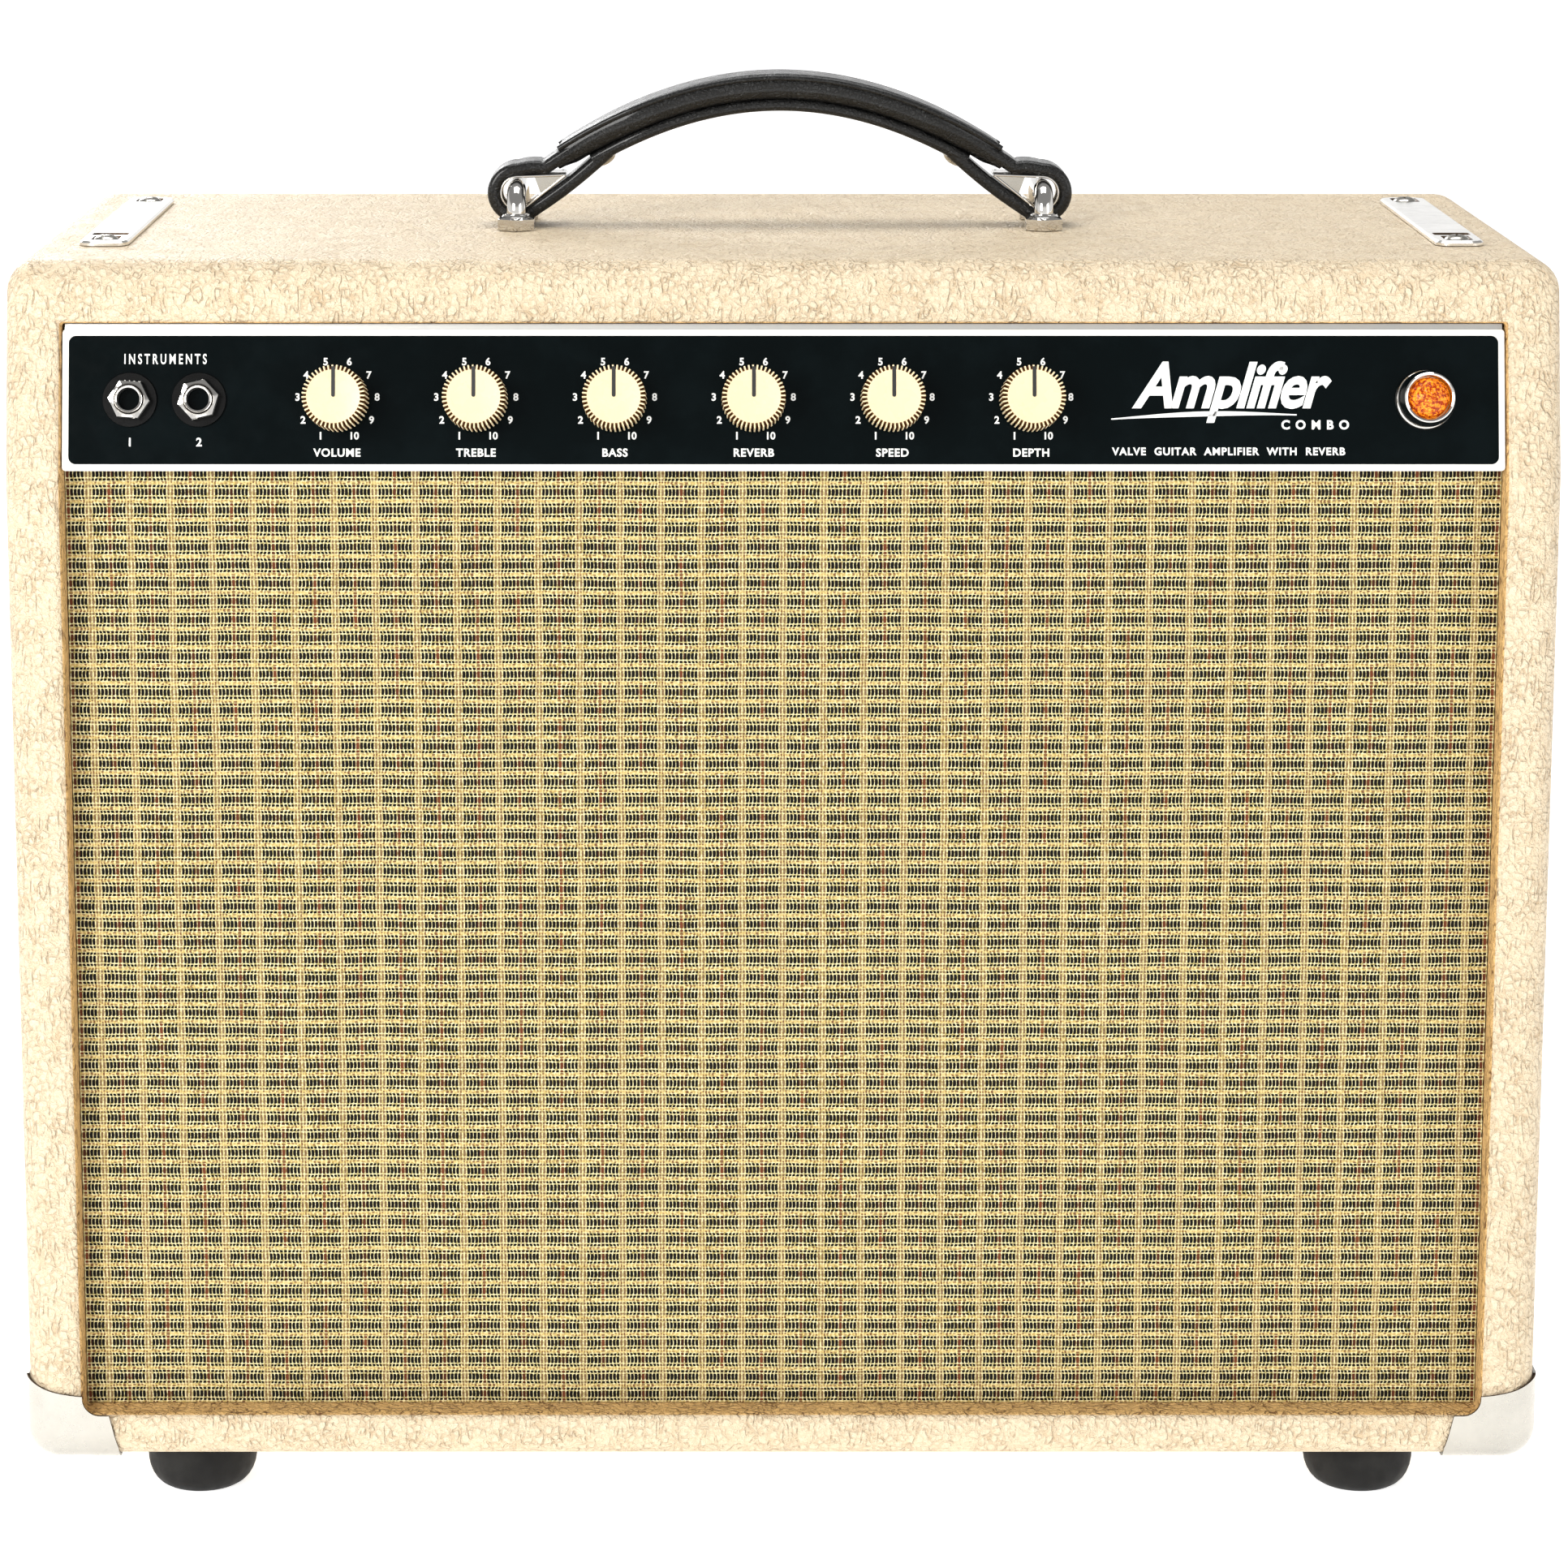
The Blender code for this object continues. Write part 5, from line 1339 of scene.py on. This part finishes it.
row_z = middle_of("fuse_holder")[2]
for text, node in (
    ("FUSE", "fuse_holder"), ("POWER", "power_switch"), ("SPEAKER", "speaker_jack"), ("AC IN", "power_inlet"),
):
    x = middle_of(node)[0]
    words(text, 0, 0, 0.0040, 0.00008, 1.1, place=back_place(x, REAR + 0.00004, row_z - 0.0172))
print_legends("rear_legends", INK)

# Inlet: flange, shell with a socket, and three blades.
x = middle_of("power_inlet")[0]
place = back_place(x, REAR, row_z)
flange = finish(
    "inlet_shell", box_shape((-0.0172, -0.0130, 0.0003), (0.0172, 0.0130, 0.0025), 0.0007, 2), BLACK_PLASTIC,
    place=place, replaces=("power_inlet",),
)
inner = box_shape((-0.0138, -0.0100, -0.0200), (0.0138, 0.0100, 0.0012), 0.0010, 2)
shell_box = finish("inlet_body", inner, BLACK_PLASTIC, place=place)
for target in (flange, shell_box):
    cutter = bmesh.new()
    outline = [
        (-0.0115, -0.0078), (0.0115, -0.0078), (0.0115, 0.0040), (0.0078, 0.0078), (-0.0078, 0.0078),
        (-0.0115, 0.0040),
    ]
    plate(outline, -0.0170, 0.01, place, cutter)
    carve(target, cutter)
for k, (bx, by) in enumerate(((-0.0070, -0.0020), (0.0, 0.0025), (0.0070, -0.0020))):
    blade = box_shape((bx - 0.0010, by - 0.0020, -0.0175), (bx + 0.0010, by + 0.0020, -0.0050), 0.0004, 2)
    finish(f"inlet_blade_{k}", blade, BRASS, place=place)
for k, bx in enumerate((-0.0147, 0.0147)):
    screw_head(place @ Matrix.Translation((bx, 0, 0.0022)), 0.0017, 0.0009, f"inlet_screw_{k}", ZINC)

# Fuse holder and its turning cap.
x = middle_of("fuse_holder")[0]
place = back_place(x, REAR, row_z)
ring = (
    (0.0043, -0.026), (0.0060, -0.030), (0.0060, 0.0003), (0.0086, 0.0003), (0.0090, 0.0007), (0.0090, 0.0016),
    (0.0085, 0.0020), (0.0043, 0.0020),
)
finish(
    "fuse_body", lathe(ring, 56), BLACK_PLASTIC, place=place, replaces=("fuse_holder",),
)
shape = bmesh.new()
ridges, per = 20, 6
rows = (
    (0.0036, -0.022, 0), (0.0036, 0.0024, 0), (0.0062, 0.0024, 0.5), (0.0066, 0.0028, 1), (0.0066, 0.0086, 1),
    (0.0063, 0.0094, 0.8), (0.0056, 0.0101, 0), (0.0050, 0.0102, 0),
)
rings = []
for radius, height, cut in rows:
    ring = []
    for k in range(ridges * per):
        a = 2 * math.pi * k / (ridges * per)
        r = radius - cut * 0.0004 * (0.5 - 0.5 * math.cos(ridges * a))
        ring.append(shape.verts.new((r * math.cos(a), r * math.sin(a), height)))
    rings.append(ring)
for lower, upper in zip(rings, rings[1:]):
    bridge(shape, lower, upper)
shape.faces.new(list(reversed(rings[0])))
shape.faces.new(rings[-1])
cap = finish("fuse_knob", shape, BLACK_PLASTIC, "fuse_cap", place, replaces=("fuse_cap",))
cutter = box_shape((-0.0075, -0.0005, 0.0088), (0.0075, 0.0005, 0.012))
cutter.transform(place)
carve(cap, cutter)

# Toggle switch: hexagon nut, threaded bushing and a bat lever.
x = middle_of("power_switch")[0]
place = back_place(x, REAR, row_z)
case = box_shape((-0.0070, -0.0130, -0.024), (0.0070, 0.0130, -0.0018), 0.0006, 2)
finish("switch_case", case, BLACK_PLASTIC, place=place, replaces=("power_switch",))
nut = lathe(
    ((0.0050, 0.0003), (0.0078, 0.0003), (0.0080, 0.0006), (0.0080, 0.0020), (0.0077, 0.0024), (0.0050, 0.0024)),
    60, (1, 2, 3, 4),
)
finish("switch_nut", nut, CHROME, place=place, sharp=25)
barrel = [(0.0040, 0.0003), (0.0057, -0.0040)]
for k in range(11):
    barrel.append((0.00580, 0.0003 + 0.00075 * k))
    barrel.append((0.00560, 0.0003 + 0.00075 * k + 0.00038))
barrel += [(0.0056, 0.0085), (0.0049, 0.0085), (0.0040, 0.0040)]
finish("switch_bushing", lathe(barrel, 48), CHROME, place=place)
pivot = Vector(joints["power_toggle"]["pos_m"])
stand = back_place(*pivot) @ Matrix.Rotation(math.radians(12.5), 4, "X")
profile = (
    (0, -0.0028), (0.0014, -0.0024), (0.0024, -0.0014), (0.0028, 0), (0.0024, 0.0012), (0.0020, 0.0020),
    (0.00185, 0.0045), (0.0021, 0.0068), (0.0026, 0.0092), (0.0030, 0.0112), (0.0029, 0.0122), (0.0022, 0.0129),
    (0.0012, 0.0132), (0, 0.0133),
)
finish(
    "switch_bat", lathe(profile, 40, close=False), CHROME, "power_lever", stand, sharp=60,
    replaces=("power_switch_lever",),
)

# Speaker jack: black flange with a metal nose.
x = middle_of("speaker_jack")[0]
place = back_place(x, REAR, row_z)
profile = (
    (0.0036, -0.024), (0.0085, -0.027), (0.0085, -0.0018), (0.0046, -0.0018), (0.0046, 0.0003),
    (0.0082, 0.0003), (0.0085, 0.0006), (0.0085, 0.0020), (0.0080, 0.0026), (0.0048, 0.0028), (0.0036, 0.0028),
)
finish(
    "speaker_socket", lathe(profile, 56), BLACK_PLASTIC, place=place, replaces=("speaker_jack",),
)
profile = [(0.0036, 0.0022), (0.0046, 0.0024)]
for k in range(4):
    profile.append((0.0046, 0.0028 + 0.0007 * k))
    profile.append((0.0044, 0.0031 + 0.0007 * k))
profile += [(0.0043, 0.0055), (0.0036, 0.0053)]
finish("speaker_socket_nose", lathe(profile, 48), CHROME, place=place)

# ------------------------------------------------------------------ loudspeaker
low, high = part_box("speaker_frame")
speaker = front_place((low[0] + high[0]) / 2, low[1], (low[2] + high[2]) / 2)
profile = (
    (0.1266, 0.0000), (0.1270, -0.0004), (0.1270, -0.0026), (0.1264, -0.0030), (0.1192, -0.0030),
    (0.1188, -0.0034), (0.1186, -0.0105), (0.1150, -0.0140), (0.0580, -0.0590), (0.0560, -0.0612),
    (0.0560, -0.0640), (0.0552, -0.0645), (0.0200, -0.0645), (0.0200, -0.0622), (0.0535, -0.0622),
    (0.0541, -0.0610), (0.0545, -0.0592), (0.1140, -0.0112), (0.1150, -0.0095), (0.1150, 0.0000),
)
basket = finish(
    "speaker_basket", lathe(profile, 128), DARK_STEEL, place=speaker, sharp=35, replaces=("speaker_frame",),
)
for k in range(4):
    cutter = box_shape((0.058, -0.033, -0.0520), (0.140, 0.033, -0.0150), 0.006, 4)
    cutter.transform(speaker @ Matrix.Rotation(math.radians(45 + 90 * k), 4, "Z"))
    carve(basket, cutter)
front_side, back_side = [], []
for k in range(61):
    t = k / 60
    r = 0.0230 + (0.1040 - 0.0230) * t
    depth_here = -0.0401 + 0.0361 * t + 0.0009 * math.sin(math.pi * t) ** 0.8
    ripple = 0.0005 * math.sin(t * 10 * math.pi) if 0.30 < t < 0.92 else 0.0
    front_side.append((r, depth_here + ripple))
    back_side.append((r, depth_here + ripple - 0.0011))
surround = [(0.1055, -0.0022), (0.1080, -0.0013), (0.1105, -0.0022), (0.1122, -0.0038)]
profile = [(0, -0.0296), (0.0060, -0.0302), (0.0120, -0.0322), (0.0180, -0.0358), (0.0222, -0.0398)]
profile += front_side + surround + [(r, z - 0.0012) for r, z in reversed(surround)]
profile += list(reversed(back_side)) + [
    (0.0145, -0.0462), (0.0145, -0.0780), (0.0130, -0.0780), (0.0130, -0.0365), (0, -0.0312),
]
finish(
    "speaker_diaphragm", lathe(profile, 112), PAPER, "cone", speaker, sharp=50, replaces=("speaker_cone",),
)
profile = (
    (0, -0.0648), (0.0108, -0.0648), (0.0108, -0.0860), (0.0175, -0.0860), (0.0175, -0.0648), (0.0560, -0.0648),
    (0.0560, -0.0688), (0.0612, -0.0690), (0.0620, -0.0696), (0.0620, -0.0908), (0.0614, -0.0915),
    (0.0570, -0.0917), (0.0570, -0.0972), (0.0562, -0.0980), (0.0120, -0.0980), (0.0115, -0.0972), (0, -0.0972),
)
finish(
    "speaker_motor", lathe(profile, 112), FERRITE, place=speaker, sharp=30, replaces=("speaker_magnet",),
)
yoke = lathe(
    ((0.0125, -0.09805), (0.0560, -0.09805), (0.0566, -0.0975), (0.0566, -0.0920), (0.0125, -0.0920)), 112,
)
finish("speaker_rear_plate", yoke, ZINC, place=speaker, sharp=30)
BOLT_CIRCLE = 0.1218
for k in range(8):
    a = math.radians(22.5 + 45 * k)
    spot = Matrix.Translation((BOLT_CIRCLE * math.cos(a), BOLT_CIRCLE * math.sin(a), -0.0030))
    nut = lathe(
        ((0, 0.0), (0.0040, 0.0), (0.0042, 0.0004), (0.0042, 0.0028), (0.0039, 0.0032), (0, 0.0032)), 36,
        (1, 2, 3, 4),
    )
    finish(
        f"speaker_nut_{k}", nut, ZINC, place=speaker @ spot @ Matrix.Rotation(math.pi, 4, "X"), sharp=25,
    )

# ------------------------------------------------------------------ transformers
def transformer(name, node, swell, bolt):
    low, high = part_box(node)
    x, y = (low[0] + high[0]) / 2, (low[1] + high[1]) / 2
    half_x, half_y = (high[0] - low[0]) / 2 - 0.008, (high[1] - low[1]) / 2 - swell
    stack = bmesh.new()
    levels = 26
    outline = []
    for k in range(levels):
        y0 = y - half_y + 2 * half_y * k / levels
        for offset in (0.0, 0.72):
            outline.append((y0 + offset * 2 * half_y / levels, 0.0 if offset == 0.0 else 0.00025))
    rings = []
    for spot, inset in outline + [(y + half_y, 0.0)]:
        ring = []
        for sx, sz in ((-1, -1), (1, -1), (1, 1), (-1, 1)):
            z = low[2] + inset if sz < 0 else high[2] - inset
            ring.append(stack.verts.new((x + sx * (half_x - inset), spot, z)))
        rings.append(ring)
    for lower, upper in zip(rings, rings[1:]):
        bridge(stack, lower, upper)
    stack.faces.new(rings[0])
    stack.faces.new(list(reversed(rings[-1])))
    finish(f"{name}_laminations", stack, DARK_STEEL, sharp=20, replaces=(node,))
    bell = box_shape(
        (x - half_x + 0.010, y - half_y - swell, low[2] + 0.008),
        (x + half_x - 0.010, y + half_y + swell, high[2] - 0.008), 0.006, 5,
    )
    finish(f"{name}_bells", bell, BLACK_PAINT, sharp=60)
    lip = box_shape(
        (low[0], y - half_y + 0.008, high[2] - 0.0015), (high[0], y + half_y - 0.008, high[2]), 0.0006, 2,
    )
    finish(f"{name}_feet", lip, BLACK_PAINT)
    for k, (sx, sz) in enumerate(((-1, -1), (1, -1), (1, 1), (-1, 1))):
        z = (low[2] + high[2]) / 2 + sz * ((high[2] - low[2]) / 2 - 0.005)
        spot = back_place(x + sx * (half_x - 0.005), y + half_y, z)
        screw_head(spot, bolt, bolt * 0.6, f"{name}_bolt_{k}", ZINC)


transformer("mains_transformer", "power_transformer", 0.017, 0.0034)
transformer("speaker_transformer", "output_transformer", 0.012, 0.0026)

# ------------------------------------------------------------------ valves
def hanging_place(low, high):
    """At the top of a box, with local Z pointing down."""
    spot = ((low[0] + high[0]) / 2, (low[1] + high[1]) / 2, high[2])
    return Matrix.Translation(spot) @ Matrix.Rotation(math.pi, 4, "X")


for number in (1, 2):
    low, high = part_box(f"power_tube_{number}")
    place = hanging_place(low, high)
    outer = [
        (0.0140, 0.0150), (0.0143, 0.0200), (0.0145, 0.0240), (0.0145, 0.0600), (0.0140, 0.0650),
        (0.0122, 0.0710), (0.0092, 0.0765), (0.0050, 0.0805), (0, 0.0820),
    ]
    inner = [
        (0, 0.0810), (0.0048, 0.0796), (0.0086, 0.0757), (0.0114, 0.0703), (0.0131, 0.0645), (0.0136, 0.0600),
        (0.0136, 0.0240), (0.0133, 0.0180),
    ]
    bulb = lathe(outer + inner, 64)
    finish(
        f"power_valve_{number}_bulb", bulb, VALVE_GLASS, place=place, sharp=60,
        replaces=(f"power_tube_{number}",),
    )
    base = [(0, 0.0), (0.0158, 0.0), (0.0165, 0.0006), (0.0165, 0.0130)]
    base += [(0.0160, 0.0140), (0.0144, 0.0150), (0.0138, 0.0160), (0, 0.0160)]
    finish(
        f"power_valve_{number}_base", lathe(base, 64), BLACK_PLASTIC, place=place, sharp=40,
    )
    anode = box_shape((-0.0085, -0.0045, 0.0240), (0.0085, 0.0045, 0.0600), 0.0022, 3)
    finish(f"power_valve_{number}_plate", anode, DARK_STEEL, place=place)
    for level in (0.0215, 0.0620):
        mica = lathe(((0, level), (0.0118, level), (0.0118, level + 0.0006), (0, level + 0.0006)), 40)
        finish(
            f"power_valve_{number}_mica_{int(level * 10000)}", mica, PANEL_WHITE, place=place,
        )
    getter = lathe(((0.0020, 0.0690), (0.0046, 0.0690), (0.0046, 0.0698), (0.0020, 0.0698)), 40)
    finish(f"power_valve_{number}_getter", getter, GETTER, place=place)
    low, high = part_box(f"preamp_tube_{number}")
    place = hanging_place(low, high)
    can = [
        (0, 0.0), (0.0126, 0.0), (0.0130, 0.0004), (0.0130, 0.0084), (0.0126, 0.0090), (0.0115, 0.0094),
        (0.0112, 0.0100),
    ]
    can += [
        (0.0112, 0.0200), (0.0109, 0.0206), (0.0109, 0.0222), (0.0112, 0.0228), (0.0112, 0.0470),
        (0.0107, 0.0495), (0.0096, 0.0515), (0.0070, 0.0526), (0.0042, 0.0528), (0.0040, 0.0500), (0, 0.0500),
    ]
    finish(
        f"preamp_valve_{number}_shield", lathe(can, 64), ALUMINIUM, place=place, sharp=35,
        replaces=(f"preamp_tube_{number}",),
    )

for node in ("baffle_board", "left_batten", "right_batten"):
    paint(node, PLYWOOD)
for node in ("chassis", "reverb_tank"):
    paint(node, ZINC)
paint("control_board", FIBRE)
